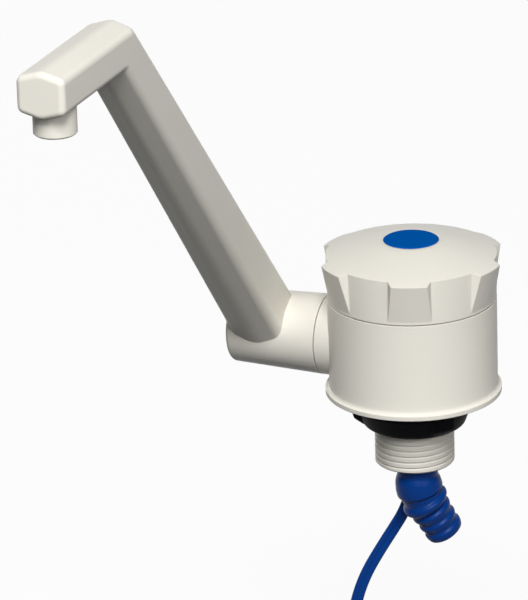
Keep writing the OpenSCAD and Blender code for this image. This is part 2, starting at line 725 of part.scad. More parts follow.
// Turning knob with its lobed grip, domed top and driving post
module knob() color(white) difference() {
  intersection() {
    union() {
      translate([0, 0, knob_z]) cylinder(r1 = skirt_r, r2 = knob_r, h = knob_h + dome_h, $fn = 120);
      intersection() {
        translate([0, 0, knob_z])
          cylinder(r1 = lobe_foot_r, r2 = lobe_r + (lobe_r - lobe_foot_r) / 3, h = knob_h * 4 / 3, $fn = 120);
        for (i = [0:lobes - 1]) rotate(-90 + lobe_turn + 360 * i / lobes)
          translate([0, 0, knob_z]) linear_extrude(knob_h + dome_h) lobe_plan();
      }
    }
    rotate_extrude($fn = 120) polygon(concat(
      [[0, knob_z - 1], [lobe_r + 3, knob_z - 1]],
      [for (i = [0:10]) let (u = 1 - i / 10, r = disc_r + ring_w + (lobe_r + 0.2 - disc_r - ring_w) * u)
        [r, knob_top + dome_h * (1 - pow(u, dome_power)) - rim_fall * pow(u, 6)]],
      [[disc_r + ring_w, knob_top + dome_h + ring_h], [0, knob_top + dome_h + ring_h]]
    ));
  }
  difference() {
    translate([0, 0, knob_z - 1]) rotate_extrude() polygon(concat(
      [[0, 0], [skirt_in + loose_gap, 0], [skirt_in + loose_gap, lip_h + 1.6]],
      [[knob_r - knob_wall - 0.3, knob_h - 1], [20, knob_h + 1], [0, knob_h + 2.4]]
    ));
    translate([0, 0, cam_z + cam_t + 0.2]) cylinder(r = post_r, h = 30);
    for (i = [0:lobes - 1]) rotate(360 * (i + 0.5) / lobes)
      translate([post_r - 1, -knob_rib_w / 2, knob_z + lip_h + 2.5]) cube([lobe_r, knob_rib_w, knob_h]);
  }
  drive(run_gap, knob_z - 5, spindle_top + 0.1);
  translate([0, 0, disc_z - disc_t - seat_gap]) cylinder(r = disc_r + seat_gap, h = 5);
  translate([0, 0, disc_z - disc_t - knob_screw_in]) cylinder(r = 3.8, h = 5);
  translate([0, 0, spindle_top - 1]) cylinder(r = 2, h = 10, $fn = 32);
}

// Blue disc that marks the cold tap and hides the knob's screw
module knob_disc() color(blue) {
  translate([0, 0, disc_z - disc_t]) cylinder(r = disc_r, h = disc_t - 0.3);
  translate([0, 0, disc_z - 0.3 - eps]) cylinder(r1 = disc_r, r2 = disc_r - 0.4, h = 0.3);
}

// Screw that holds the knob on the spindle
module knob_screw() color(steel)
  translate([0, 0, disc_z - disc_t - knob_screw_in + seat_gap]) screw(1.58, knob_screw_l, 3.2, 2);

// Places of the lever's bump, measured from the knob's axis, before and after its travel
function bump_place(turn) = let (a = turn - lever_lean)
  pivot + bump_at * [sin(a), -cos(a)] - (lever_t / 2) * [cos(a), sin(a)];
bump_shut = bump_place(0);
bump_open = bump_place(lever_turn);
cam_low = norm(bump_shut) - bump_r - contact_gap;
cam_high = norm(bump_open) - bump_r - contact_gap;
cam_from = atan2(bump_shut[1], bump_shut[0]);

// Cam on the spindle: its radius grows steadily over the knob's travel
module switch_cam() color(acetal) translate([0, 0, cam_z]) difference() {
  linear_extrude(cam_t) polygon([for (i = [0:2:358]) let (
      back = (cam_from - i + 720) % 360,
      r = back <= knob_turn + 8 ? cam_low + (cam_high - cam_low) * min(back, knob_turn) / knob_turn
        : back >= 340 ? cam_low
        : cam_high + (cam_low - cam_high) * (back - knob_turn - 8) / (340 - knob_turn - 8))
    polar(r, i)]);
  drive(seat_gap, -1, cam_t + 1);
}

// Case of the switch, with the ears for its lever
module switch_case() color(black) difference() {
  union() {
    translate([switch_x, -switch_w / 2, switch_z]) cube([switch_d, switch_w, switch_h]);
    for (z = [switch_z, switch_z + switch_h - ear_t]) translate([pivot[0] - 0.9, pivot[1] - 0.9, z])
      cube([switch_x - pivot[0] + 1, 1.7, ear_t]);
  }
  translate([pivot[0], pivot[1], switch_z - 1]) cylinder(r = lever_pin_r, h = 10, $fn = 24);
  translate([pivot[0], pivot[1], switch_z + ear_t])
    cylinder(r = eye_r + 0.15, h = switch_h - 2 * ear_t, $fn = 32);
  translate([switch_x - 1, plunger_y - plunger_w / 2 - run_gap, switch_z + switch_h / 2 - 1 - run_gap])
    cube([2.6, plunger_w + 2 * run_gap, 2 + 2 * run_gap]);
  for (s = [-1, 1]) translate([switch_x + switch_d - 1.4, s * (switch_w / 2 - 2), switch_z - 1])
    cylinder(r = 0.85, h = 10, $fn = 24);
}

// Sprung lever with a rounded bump that rides on the cam
module switch_lever() color(steel)
  translate([pivot[0], pivot[1], switch_z + (switch_h - lever_w) / 2]) rotate(-lever_lean) difference() {
    union() {
      translate([-lever_t / 2, -lever_l, 0]) cube([lever_t, lever_l, lever_w]);
      translate([-lever_t / 2, -bump_at, 0]) cylinder(r = bump_r, h = lever_w, $fn = 32);
      cylinder(r = eye_r, h = lever_w, $fn = 32);
    }
    translate([0, 0, -1]) cylinder(r = lever_pin_r + run_gap, h = 10, $fn = 24);
    translate([lever_t / 2, -bump_at - 4, -1]) cube([5, 8, 10]);
  }

// Pin on which the lever turns
module lever_pin() color(steel) translate([pivot[0], pivot[1], switch_z + seat_gap])
  cylinder(r = lever_pin_r - 0.01, h = switch_h - 2 * seat_gap, $fn = 24);

// Button that the lever presses
module switch_plunger() color(red) {
  back_x = pivot[0] + (plunger_y - pivot[1]) * tan(lever_lean) + lever_t / 2 / cos(lever_lean);
  translate([back_x + contact_gap, plunger_y - plunger_w / 2, switch_z + switch_h / 2 - 1])
    cube([switch_x + 0.7 - back_x - contact_gap, plunger_w, 2]);
}

// Two solder tabs
module switch_terminals() color(brass) for (s = [-1, 1])
  translate([switch_x + switch_d + seat_gap, (s * tab_gap - tab_w) / 2, switch_z + (switch_h - tab_t) / 2])
    cube([tab_l, tab_w, tab_t]);

// Two screws that hold the switch on its shelf
module switch_screws() color(steel) for (s = [-1, 1])
  translate([switch_x + switch_d - 1.4, s * (switch_w / 2 - 2), switch_z + switch_h + seat_gap])
    screw(0.78, 8, 1.35, 0.8);

// Radius of a barb's crest, counted from the collar
function crest(i) = i == 0 ? collar_r : barb_r + (barb_tip_r - barb_r) * (i - 1) / max(barbs - 1, 1);

// Outline of the bent part: elbow, collar and sawtooth barbs, from the bend to the tip
function barb_outline() = let (pitch = (barb_l - collar_at) / (barbs + 1)) concat(
  [[0, 0], [elbow_r, 0], [elbow_r - elbow_neck, collar_at - 3.6]],
  [[collar_r, collar_at - 1.2], [collar_r, collar_at]],
  [for (i = [1:barbs], j = [0, 1]) [crest(i) - (1 - j) * barb_step, collar_at + i * pitch + j * 0.2]],
  [[barb_tip_r - barb_step, barb_l - 0.6], [barb_tip_r - barb_step - 0.6, barb_l], [0, barb_l]]
);

// Places its children along the bent part of the tail
module along_tail() {
  translate([0, 0, -tail_bend_z]) rotate([0, 180 - tail_bend, tail_turn]) children();
}

// Cranked hose tail: plug, straight part, elbow and barbed part
module hose_tail() color(blue) translate([tail_x, -tail_out, 0]) difference() {
  union() {
    translate([0, 0, socket_z - 1]) cylinder(r = socket_r - 0.01, h = plug_top - socket_z + 1 - seat_gap);
    translate([0, 0, -tail_bend_z]) cylinder(r = tail_r, h = tail_bend_z + socket_z - seat_gap);
    translate([0, 0, -tail_bend_z]) sphere(elbow_r + 0.05);
    along_tail() rotate_extrude() polygon(barb_outline());
  }
  translate([0, 0, -tail_bend_z]) cylinder(r = tail_bore_r, h = tail_bend_z + plug_top + 1);
  translate([0, 0, -tail_bend_z]) sphere(tail_bore_r + 0.2);
  along_tail() cylinder(r = tail_bore_r, h = barb_l + 1);
  pipe(socket_r + 1, socket_r - 1.2, plug_seal_z - 0.95, plug_seal_z + 0.95);
}

// Seal in the plug's groove
module tail_seal() color(black) translate([tail_x, -tail_out, 0])
  o_ring(socket_r - seat_gap, 0.57, plug_seal_z);

// Saddle that grips the cable inside the body
module cable_clamp() color(acetal) translate([0, 0, floor_t + cable_t + seat_gap]) difference() {
  rotate(clamp_turn) translate([clamp_at - clamp_d / 2, -clamp_w / 2, 0]) cube([clamp_d, clamp_w, clamp_t]);
  at_clamp_bosses() translate([0, 0, -1]) cylinder(r = clamp_screw_r + 0.1, h = clamp_t + 2, $fn = 24);
}

// Two screws of the cable clamp
module clamp_screws() color(steel) at_clamp_bosses()
  translate([0, 0, floor_t + cable_t + clamp_t + 2 * seat_gap])
    screw(clamp_screw_r - seat_gap, clamp_screw_l, 1.9, 1.1);

// Cable inside the shank and under the clamp
module inner_cable() color(blue) swept(inner_route, coil_axis, cable_w, cable_t);

// Two insulated cores from the clamp to the switch
module inner_leads() color(blue) for (s = [-1, 1]) {
  tab = [switch_x + switch_d + tab_l - lead_d / 2, s * tab_gap / 2, switch_z + switch_h / 2 - tab_t / 2];
  aside = s * (lead_d / 2 + 0.25);
  beside = [for (i = [0:len(lead_route) - 1])
    lead_route[i] - aside * unit(cross(heading(lead_route, i), [0, 0, 1]))];
  to_tab = concat(s > 0 ? lead_rear : lead_front, [tab - [0, 0, 2.4], tab - [0, 0, seat_gap]]);
  swept(concat(beside, to_tab), [0.3, 0.5, 1], lead_d, lead_d);
}

// Free cable from the shank's end down to the coil
module switch_cable() color(blue) swept(route, coil_axis, cable_w, cable_t);

// Middle line of the coil, turning down from the route's last point
coil_start = route[len(route) - 1] - [0, 0, 1];
coil_path = concat(
  [coil_start + [0, 0, 1 - seat_gap]],
  [for (i = [0:floor(coil_turns * coil_rings)]) let (turns = i / coil_rings, a = 180 + 360 * turns)
    coil_start + coil_away * coil_r * (1 + cos(a)) + [0, 0, coil_r * sin(a)] + coil_axis * coil_pitch * turns]
);
coil_gap_found = min([for (i = [0:len(coil_path) - 1 - coil_rings], j = [-2:2])
  let (k = i + coil_rings + j) if (k < len(coil_path)) norm(coil_path[k] - coil_path[i])]) - cable_w;
echo(coil_gap_found = coil_gap_found);

// Cable that isn't shown, wound flat side down into a round coil
module cable_coil() color(blue) swept(coil_path, coil_axis, cable_w, cable_t, 6);

// Tie round the coil's strands at its top
module cable_tie() color(black) translate(coil_start + coil_away * coil_r) rotate(cable_turn) {
  strands = floor(coil_turns - 0.75) + 1;
  wide = (strands - 1) * coil_pitch + cable_w + 2 * tie_gap;
  high = cable_t + 2 * tie_gap;
  middle = coil_pitch * (0.75 + (strands - 1) / 2);
  translate([middle, 0, coil_r - high / 2]) {
    difference() {
      translate([-wide / 2 - tie_t, -tie_w / 2, -tie_t]) cube([wide + 2 * tie_t, tie_w, high + 2 * tie_t]);
      translate([-wide / 2, -tie_w, 0]) cube([wide, 2 * tie_w, high]);
    }
    translate([wide / 2 + tie_t, -tie_head_w / 2, 0]) cube([tie_head_l, tie_head_w, high]);
  }
}

// Stripped and tinned ends of the two cores
module core_ends() color(steel) {
  tip = coil_path[len(coil_path) - 1];
  for (s = [-1, 1]) translate(tip + coil_axis * s * core_gap / 2) rotate([-90, 0, cable_turn])
    translate([0, 0, core_out]) cylinder(r = core_r, h = core_l, $fn = 24);
}

tap_body();
deck_gasket();
clamp_washer();
fixing_nut();
valve_housing();
housing_screws();
valve_spindle();
spindle_seals();
gland_nut();
outlet_spigot();
spigot_clip();
nose_seal();
hub_seals();
hub_washer();
hub_screw();
spout();
hub_cap();
nozzle();
flow_straightener();
knob();
knob_disc();
knob_screw();
switch_cam();
switch_case();
switch_lever();
lever_pin();
switch_plunger();
switch_terminals();
switch_screws();
hose_tail();
tail_seal();
cable_clamp();
clamp_screws();
inner_cable();
inner_leads();
switch_cable();
cable_coil();
cable_tie();
core_ends();
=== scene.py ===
"""Finishes and stage for a fold-down cold-water tap, laid out as an add-on and run as a script."""

import math

import bpy
import numpy as np
from bpy.props import FloatProperty, FloatVectorProperty, IntProperty, PointerProperty
from mathutils import Matrix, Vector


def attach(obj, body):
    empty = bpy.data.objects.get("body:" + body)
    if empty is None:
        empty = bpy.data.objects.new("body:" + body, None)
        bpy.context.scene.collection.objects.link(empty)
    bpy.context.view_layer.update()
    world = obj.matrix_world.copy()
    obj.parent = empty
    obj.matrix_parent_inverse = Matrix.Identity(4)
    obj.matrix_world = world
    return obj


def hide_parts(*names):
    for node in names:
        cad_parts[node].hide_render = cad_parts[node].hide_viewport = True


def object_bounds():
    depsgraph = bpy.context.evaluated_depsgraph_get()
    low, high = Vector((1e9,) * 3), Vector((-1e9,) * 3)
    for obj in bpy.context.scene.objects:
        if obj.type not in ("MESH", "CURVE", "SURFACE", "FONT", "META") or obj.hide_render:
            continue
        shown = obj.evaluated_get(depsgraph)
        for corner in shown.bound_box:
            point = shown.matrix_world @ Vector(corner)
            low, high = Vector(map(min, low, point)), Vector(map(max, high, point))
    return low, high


bl_info = {
    "name": "Fold-down tap finishes",
    "version": (1, 0, 0),
    "blender": (4, 5, 0),
    "location": "3D View > Sidebar > Tap",
    "description": "Mouldings, thread, cable and studio for a fold-down cold-water tap",
    "category": "Object",
}

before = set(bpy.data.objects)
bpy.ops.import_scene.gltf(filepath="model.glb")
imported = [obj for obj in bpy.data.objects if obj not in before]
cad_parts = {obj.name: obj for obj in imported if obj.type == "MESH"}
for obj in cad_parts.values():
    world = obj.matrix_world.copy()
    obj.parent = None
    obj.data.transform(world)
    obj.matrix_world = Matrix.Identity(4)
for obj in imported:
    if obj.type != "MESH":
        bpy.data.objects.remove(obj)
CAD_BOX = [list(corner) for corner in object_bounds()]
MM = 0.001
UP = np.array([0, 0, 1.0])


# Settings


class MouldingSettings(bpy.types.PropertyGroup):
    """Colours of the moulded plastics."""

    white: FloatVectorProperty(
        name="White", description="Warm white of the body, the knob and the spout",
        subtype="COLOR", size=3, min=0, max=1, default=(0.80, 0.775, 0.70))
    black: FloatVectorProperty(
        name="Black", description="Black of the nut, the washer and the switch",
        subtype="COLOR", size=3, min=0, max=1, default=(0.0035, 0.0038, 0.005))
    disc_blue: FloatVectorProperty(
        name="Disc blue", description="Blue of the disc on the knob",
        subtype="COLOR", size=3, min=0, max=1, default=(0.0002, 0.094, 0.40))
    tail_blue: FloatVectorProperty(
        name="Tail blue", description="Blue of the hose tail and the cable",
        subtype="COLOR", size=3, min=0, max=1, default=(0.0022, 0.044, 0.245))


class SpoutSettings(bpy.types.PropertyGroup):
    """Roundings of the spout; its other sizes are the part's own."""

    side_edge: FloatProperty(
        name="Side edge", description="Radius of the four long edges of the head",
        subtype="DISTANCE", unit="LENGTH", min=0.0005, max=0.003, default=0.0024)
    ridge: FloatProperty(
        name="Ridge", description="Radius of the ridge above and below the head",
        subtype="DISTANCE", unit="LENGTH", min=0.0005, max=0.009, default=0.006)
    front_edge: FloatProperty(
        name="Front edge", description="Radius of the edge round the head's front face",
        subtype="DISTANCE", unit="LENGTH", min=0.0005, max=0.0025, default=0.002)
    elbow: FloatProperty(
        name="Elbow", description="Length over which each line turns from the head into the arm",
        subtype="DISTANCE", unit="LENGTH", min=0.0005, max=0.004, default=0.0014)
    arm_edge: FloatProperty(
        name="Arm edge", description="Radius of the arm's long edges at its foot",
        subtype="DISTANCE", unit="LENGTH", min=0.0005, max=0.004, default=0.0036)
    arm_ridge: FloatProperty(
        name="Arm ridge", description="Radius of the ridge above and below the arm's foot",
        subtype="DISTANCE", unit="LENGTH", min=0.0005, max=0.018, default=0.014)


class ThreadSettings(bpy.types.PropertyGroup):
    """Sizes of the shank's thread."""

    pitch: FloatProperty(
        name="Pitch", description="Rise of the thread in one turn",
        subtype="DISTANCE", unit="LENGTH", min=0.001, max=0.003, default=0.002)
    depth: FloatProperty(
        name="Depth", description="Depth of the groove between two crests",
        subtype="DISTANCE", unit="LENGTH", min=0.0002, max=0.0015, default=0.0006)
    start: FloatProperty(
        name="Start", description="Place of the groove on the shank's +X side, as a share of a turn",
        min=0, max=1, default=0.23)
    columns: IntProperty(
        name="Columns", description="Points round the shank", min=48, max=360, default=168)


class NutSettings(bpy.types.PropertyGroup):
    """Shape of the winged nut; its bore and its height are the part's own."""

    foot: FloatProperty(
        name="Foot", description="Radius of the cone at its narrow lower end",
        subtype="DISTANCE", unit="LENGTH", min=0.016, max=0.018, default=0.0171)
    head: FloatProperty(
        name="Head", description="Radius of the cone at its upper end",
        subtype="DISTANCE", unit="LENGTH", min=0.0184, max=0.021, default=0.0196)
    wing: FloatProperty(
        name="Wing", description="Radius over the wings",
        subtype="DISTANCE", unit="LENGTH", min=0.0196, max=0.021, default=0.0209)
    wing_width: FloatProperty(
        name="Wing width", description="Width of one wing",
        subtype="DISTANCE", unit="LENGTH", min=0.006, max=0.014, default=0.009)
    wings: IntProperty(name="Wings", description="Number of wings", min=2, max=6, default=3)


class TailSettings(bpy.types.PropertyGroup):
    """Shape of the hose tail's free end; its plug and its bend point are the part's own."""

    bend_radius: FloatProperty(
        name="Bend radius", description="Radius of the middle line where the tail turns aside",
        subtype="DISTANCE", unit="LENGTH", min=0.012, max=0.03, default=0.020)
    bore: FloatProperty(
        name="Bore", description="Radius of the water way",
        subtype="DISTANCE", unit="LENGTH", min=0.003, max=0.0038, default=0.0036)
    softness: FloatProperty(
        name="Softness", description="Length over which the ridges' corners are rounded",
        subtype="DISTANCE", unit="LENGTH", min=0.0001, max=0.001, default=0.00018)


class CableSettings(bpy.types.PropertyGroup):
    """Sizes of the flat twin cable, as in the part's source."""

    width: FloatProperty(
        name="Width", description="Width over both cores",
        subtype="DISTANCE", unit="LENGTH", min=0.003, max=0.006, default=0.0042)
    thickness: FloatProperty(
        name="Thickness", description="Thickness over one core",
        subtype="DISTANCE", unit="LENGTH", min=0.001, max=0.003, default=0.0021)
    web: FloatProperty(
        name="Web", description="Thickness left in the groove between the cores",
        subtype="DISTANCE", unit="LENGTH", min=0.0005, max=0.002, default=0.0013)
    lead: FloatProperty(
        name="Lead", description="Diameter of one core where the two part inside the body",
        subtype="DISTANCE", unit="LENGTH", min=0.001, max=0.0025, default=0.0017)
    coil_radius: FloatProperty(
        name="Coil radius", description="Radius of the coil at the middle of the cable",
        subtype="DISTANCE", unit="LENGTH", min=0.02, max=0.026, default=0.023)
    coil_pitch: FloatProperty(
        name="Coil pitch", description="Step from one turn of the coil to the next",
        subtype="DISTANCE", unit="LENGTH", min=0.0045, max=0.006, default=0.0048)
    coil_turns: FloatProperty(
        name="Coil turns", description="Turns in the coil", min=2.25, max=5.25, default=3.25)


class StageSettings(bpy.types.PropertyGroup):
    """Camera, lamps and background."""

    lens: FloatProperty(
        name="Lens", description="Focal length on a 36 mm high picture, in millimetres",
        min=50, max=600, default=300.0)
    key: FloatProperty(
        name="Key lamp", description="Power of the lamp in front, high up and a little to the right",
        subtype="POWER", unit="POWER", min=0, max=200, default=30.5)
    fill: FloatProperty(
        name="Fill lamp", description="Power of the low lamp on the right",
        subtype="POWER", unit="POWER", min=0, max=200, default=7.0)
    front: FloatProperty(
        name="Front lamp", description="Power of the low lamp in front",
        subtype="POWER", unit="POWER", min=0, max=200, default=5.0)
    back: FloatProperty(
        name="Back lamp", description="Power of the low lamp behind, on the left",
        subtype="POWER", unit="POWER", min=0, max=200, default=10.0)
    sky: FloatProperty(
        name="Surround", description="Brightness of the surround", min=0, max=2, default=0.04)


# Shader expressions


class Socket:
    """One output of a shader node. The operators that shader expressions use add Math nodes."""

    def __init__(self, finish, out):
        self.finish, self.out = finish, out

    def _maths(self, operation, a, b):
        return self.finish.node("ShaderNodeMath", {"operation": operation}, {0: a, 1: b})

    def __add__(self, other):
        return self._maths("ADD", self, other)

    def __radd__(self, other):
        return self._maths("ADD", other, self)

    def __mul__(self, other):
        return self._maths("MULTIPLY", self, other)

    def __rmul__(self, other):
        return self._maths("MULTIPLY", other, self)


class Finish:
    """A material under construction: one method adds any node, sets it and links its sockets."""

    def __init__(self, name):
        self.material = bpy.data.materials.new(name)
        self.material.use_nodes = True
        self.tree = self.material.node_tree
        self.tree.nodes.clear()

    def node(self, kind, settings=None, sockets=None, output=0):
        made = self.tree.nodes.new(kind)
        for key, value in (settings or {}).items():
            setattr(made, key, value)
        for key, value in (sockets or {}).items():
            if isinstance(value, Socket):
                self.tree.links.new(value.out, made.inputs[key])
            else:
                made.inputs[key].default_value = value
        return Socket(self, made.outputs[output]) if made.outputs else None

    def place(self):
        """Object coordinates, which are those of the shared frame, in metres."""
        return self.node("ShaderNodeTexCoord", output="Object")

    def noise(self, scale, detail=2.0, roughness=0.5):
        """Noise with its scale in cells per metre."""
        return self.node("ShaderNodeTexNoise", {}, {
            "Vector": self.place(), "Scale": scale, "Detail": detail, "Roughness": roughness})

    def tint(self, factor, first, second):
        """Mix of two colours, which a Mix node holds in its inputs 6 and 7 and its output 2."""
        return self.node("ShaderNodeMix", {"data_type": "RGBA"}, {
            0: factor, 6: (*first, 1), 7: (*second, 1)}, output=2)

    def bump(self, height, distance, strength, normal):
        return self.node("ShaderNodeBump", {}, {
            "Height": height, "Distance": distance, "Strength": strength, "Normal": normal})

    def rounded(self, radius):
        """Normal that rounds every edge off to a radius."""
        return self.node("ShaderNodeBevel", {"samples": 6}, {"Radius": radius})

    def diffuse(self, grey):
        return self.node("ShaderNodeBsdfDiffuse", {}, {"Color": (grey, grey, grey, 1)})

    def surface(self, sockets):
        return self.finished(self.node("ShaderNodeBsdfPrincipled", {}, sockets))

    def finished(self, shader):
        self.node("ShaderNodeOutputMaterial", {}, {"Surface": shader})
        return self.material


def shade(colour, factor):
    """Colour times a factor, at most 1."""
    return tuple(min(1.0, c * factor) for c in colour)


def between(value, low, high):
    """Maps 0..1 to low..high."""
    return value * (high - low) + low


def moulded(name, colour, rough=(0.26, 0.38), edge=0.35 * MM, grain=0.012 * MM, specular=0.5):
    """Moulded plastic: faint flow marks in its colour, a fine grain, and slightly rounded edges."""
    f = Finish(name)
    flow, speck, fine = f.noise(38, 3.0, 0.6), f.noise(900, 2.0, 0.5), f.noise(2600, 2.0, 0.6)
    return f.surface({
        "Base Color": f.tint(flow * 0.7 + speck * 0.3, shade(colour, 0.955), shade(colour, 1.03)),
        "Roughness": between(f.noise(110, 3.0, 0.55), *rough),
        "Specular IOR Level": specular,
        "Normal": f.bump(fine, grain, 0.6, f.rounded(edge)),
    })


def metal(name, colour, rough, brush):
    """Turned or rolled metal: fine streaks in the roughness and the bump along one direction."""
    edge, grain = 0.2 * MM, 0.01 * MM
    f = Finish(name)
    stretched = f.node("ShaderNodeMapping", {}, {"Vector": f.place(), "Scale": brush})
    streaks = f.node("ShaderNodeTexNoise", {}, {"Vector": stretched, "Scale": 900.0, "Detail": 3.0})
    return f.surface({
        "Base Color": f.tint(f.noise(150, 3.0), shade(colour, 0.9), shade(colour, 1.05)),
        "Metallic": 1.0,
        "Roughness": between(streaks, rough - 0.08, rough + 0.1),
        "Normal": f.bump(streaks, grain, 0.5, f.rounded(edge)),
    })


def rubber(name, colour):
    """Matt rubber with a fine bloom."""
    edge, grain = 0.2 * MM, 0.02 * MM
    f = Finish(name)
    bloom = f.noise(240, 3.0, 0.6)
    return f.surface({
        "Base Color": f.tint(bloom, shade(colour, 0.8), shade(colour, 1.6)),
        "Roughness": between(bloom, 0.6, 0.82),
        "Normal": f.bump(f.noise(1800, 2.0), grain, 0.6, f.rounded(edge)),
    })


def pale_backdrop(name):
    """Backdrop that looks near white, also in gloss and through glass, and keeps the shadow.

    All other rays find a dark grey there, so that it sends little light back to the object.
    """
    pale, dark, glow = 0.83, 0.05, 0.94
    f = Finish(name)
    seen = f.node("ShaderNodeLightPath", output="Is Camera Ray")
    for ray in ("Is Glossy Ray", "Is Transmission Ray"):
        also = f.node("ShaderNodeLightPath", output=ray)
        seen = f.node("ShaderNodeMath", {"operation": "MAXIMUM"}, {0: seen, 1: also})
    white = f.node("ShaderNodeEmission", {}, {"Color": (1, 1, 1, 1), "Strength": 1.0})
    lit = f.node("ShaderNodeMixShader", {}, {0: glow, 1: f.diffuse(pale), 2: white})
    return f.finished(f.node("ShaderNodeMixShader", {}, {0: seen, 1: f.diffuse(dark), 2: lit}))


# Surfaces


def grid_faces(rows, columns, wrap_rows=False, wrap_columns=False):
    """Quads of a grid of rows by columns points, numbered row by row; either way may close on itself."""
    i = np.arange(rows if wrap_rows else rows - 1)
    j = np.arange(columns if wrap_columns else columns - 1)
    i, j = np.meshgrid(i, j, indexing="ij")
    i, j = i.ravel(), j.ravel()
    k, n = (i + 1) % rows, (j + 1) % columns
    return np.stack([i * columns + j, i * columns + n, k * columns + n, k * columns + j], 1)


def mesh_object(name, points, faces):
    """An object in the scene whose mesh is made of points and faces."""
    mesh = bpy.data.meshes.new(name)
    mesh.from_pydata(points.tolist(), [], faces if isinstance(faces, list) else faces.tolist())
    made = bpy.data.objects.new(name, mesh)
    bpy.context.scene.collection.objects.link(made)
    return made


def smooth(mesh, angle=35.0):
    """Smooth shading, with sharp edges where two faces turn by more than an angle."""
    mesh.shade_smooth()
    mesh.set_sharp_from_angle(angle=math.radians(angle))


def piece(name, points, faces, material, body, slot, smooth_angle=35.0):
    """A piece made of points and faces, with a material by its name, riding on a body."""
    made = mesh_object(name, points, faces)
    made.data.validate()
    smooth(made.data, smooth_angle)
    made.data.materials.append(bpy.data.materials[material])
    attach(made, body)
    return made


def dress(material, *nodes):
    """Gives CAD nodes a material on their objects' own slots."""
    for node in nodes:
        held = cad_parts[node]
        if not held.material_slots:
            held.data.materials.append(material)
        for slot in held.material_slots:
            slot.link = "OBJECT"
            slot.material = material


def cad_mesh(node):
    """Points and triangles of a CAD node as arrays, with the points that lie together joined."""
    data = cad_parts[node].data
    points = np.empty(len(data.vertices) * 3)
    data.vertices.foreach_get("co", points)
    data.calc_loop_triangles()
    triangles = np.empty(len(data.loop_triangles) * 3, int)
    data.loop_triangles.foreach_get("vertices", triangles)
    joined_points, index = np.unique(np.round(points.reshape(-1, 3), 7), axis=0, return_inverse=True)
    return joined_points, index.ravel()[triangles].reshape(-1, 3)


def unit(vectors):
    """Vectors divided by their lengths."""
    return vectors / np.linalg.norm(vectors, axis=-1, keepdims=True)


def soft_step(t):
    """Rises from 0 to 1 as t does, level at both ends: 3 t^2 - 2 t^3."""
    t = np.clip(t, 0, 1)
    return t * t * (3 - 2 * t)


def round_upright(r, a, h):
    """Points at a radius, an angle and a height round the Z axis, as one list."""
    return np.stack([r * np.cos(a), r * np.sin(a), h], -1).reshape(-1, 3)


def threaded_shank(s, bore, radius, chamfer, low, high):
    """Skin of a threaded shank, from the bore's edge over the end face and up.

    A point at angle a and height z lies at radius R - D * fade * |cos(pi * (z / P - a / 2 pi - S))| ^ N,
    which leaves wide flat crests and narrow grooves that climb one pitch P in a turn. fade rises from 0
    to 1 over the run in above the end face, and falls back to 0 over the run out below the plain top.
    The edge of the end face is turned down by the chamfer.
    """
    narrowness, rows_per_pitch = 20, 24
    run_in, run_out, plain_top = 0.8 * MM, 2 * MM, 1.5 * MM
    turn = np.linspace(0, 2 * np.pi, s.columns, endpoint=False)
    z = np.linspace(low, high, int((high - low) / (s.pitch / rows_per_pitch)) + 1)
    a, h = np.meshgrid(turn, z)
    groove = np.abs(np.cos(np.pi * (h / s.pitch - a / (2 * np.pi) - s.start))) ** narrowness
    fade = np.clip((h - low) / run_in, 0, 1) * np.clip((high - plain_top - h) / run_out, 0, 1)
    r = radius - s.depth * groove * fade - np.clip(chamfer + low - h, 0, None)
    r = np.vstack([0 * turn + bore, r])
    h = np.vstack([0 * turn + low, h])
    return round_upright(r, turn, h), grid_faces(len(h), len(turn), wrap_columns=True)


def winged_cone(s, bore, low, high, first_wing, columns=240):
    """Conical nut with wings, as radii over the angle a and the height h, and its bore.

    The cone widens evenly up to the flange, and its lower corner is an arc. A wing adds what the
    cone lacks to the wings' radius, times a soft step across the wing's width, times a soft step up
    the lower part of the height.
    """
    corner, flange, flank, rise_share = 1.4 * MM, 2 * MM, 1.2 * MM, 0.45
    height = high - low
    bend = np.linspace(0, np.pi / 2, 7)
    h = np.concatenate([corner * (1 - np.cos(bend)), np.linspace(corner, height, 30)[1:]])
    cone = s.foot + (s.head - s.foot) * np.clip(h / (height - flange), 0, 1)
    cone = cone - corner + np.sqrt(corner ** 2 - np.clip(corner - h, 0, None) ** 2)
    a = np.linspace(0, 2 * np.pi, columns, endpoint=False)
    pitch = 2 * np.pi / s.wings
    aside = s.wing * np.abs((a - first_wing + pitch / 2) % pitch - pitch / 2)
    across = soft_step((s.wing_width / 2 - aside) / flank + 0.5)
    rise = soft_step(h / (rise_share * height))
    r = cone[:, None] + (s.wing - cone)[:, None] * rise[:, None] * across
    r = np.vstack([r, np.full((2, columns), bore)])
    h = np.concatenate([h, [height, 0]])[:, None] + 0 * a
    return round_upright(r, a, low + h), grid_faces(len(r), columns, wrap_rows=True, wrap_columns=True)


def gabled_section(width, side, gable, radii, steps=8):
    """Outline of a six-cornered section with a low gable above and below, its corners rounded.

    Each corner is an arc that touches both of its sides: the arc's middle lies on the corner's
    bisector, its radius over the sine of half the corner's angle away, and the arc spans what the
    outline turns there.
    """
    x, y = width / 2, side / 2
    corner = np.array([[x, -y], [x, y], [0, y + gable], [-x, y], [-x, -y], [0, -y - gable]])
    last, following = unit(np.roll(corner, 1, 0) - corner), unit(np.roll(corner, -1, 0) - corner)
    half = np.arccos((last * following).sum(1)) / 2
    inward = unit(last + following)
    middle = corner + inward * (radii / np.sin(half))[:, None]
    outward = np.arctan2(-inward[:, 1], -inward[:, 0])
    a = outward[:, None] + np.linspace(-1, 1, steps + 1) * (np.pi / 2 - half)[:, None]
    return (middle[:, None] + radii[:, None, None] * np.stack([np.cos(a), np.sin(a)], -1)).reshape(-1, 2)


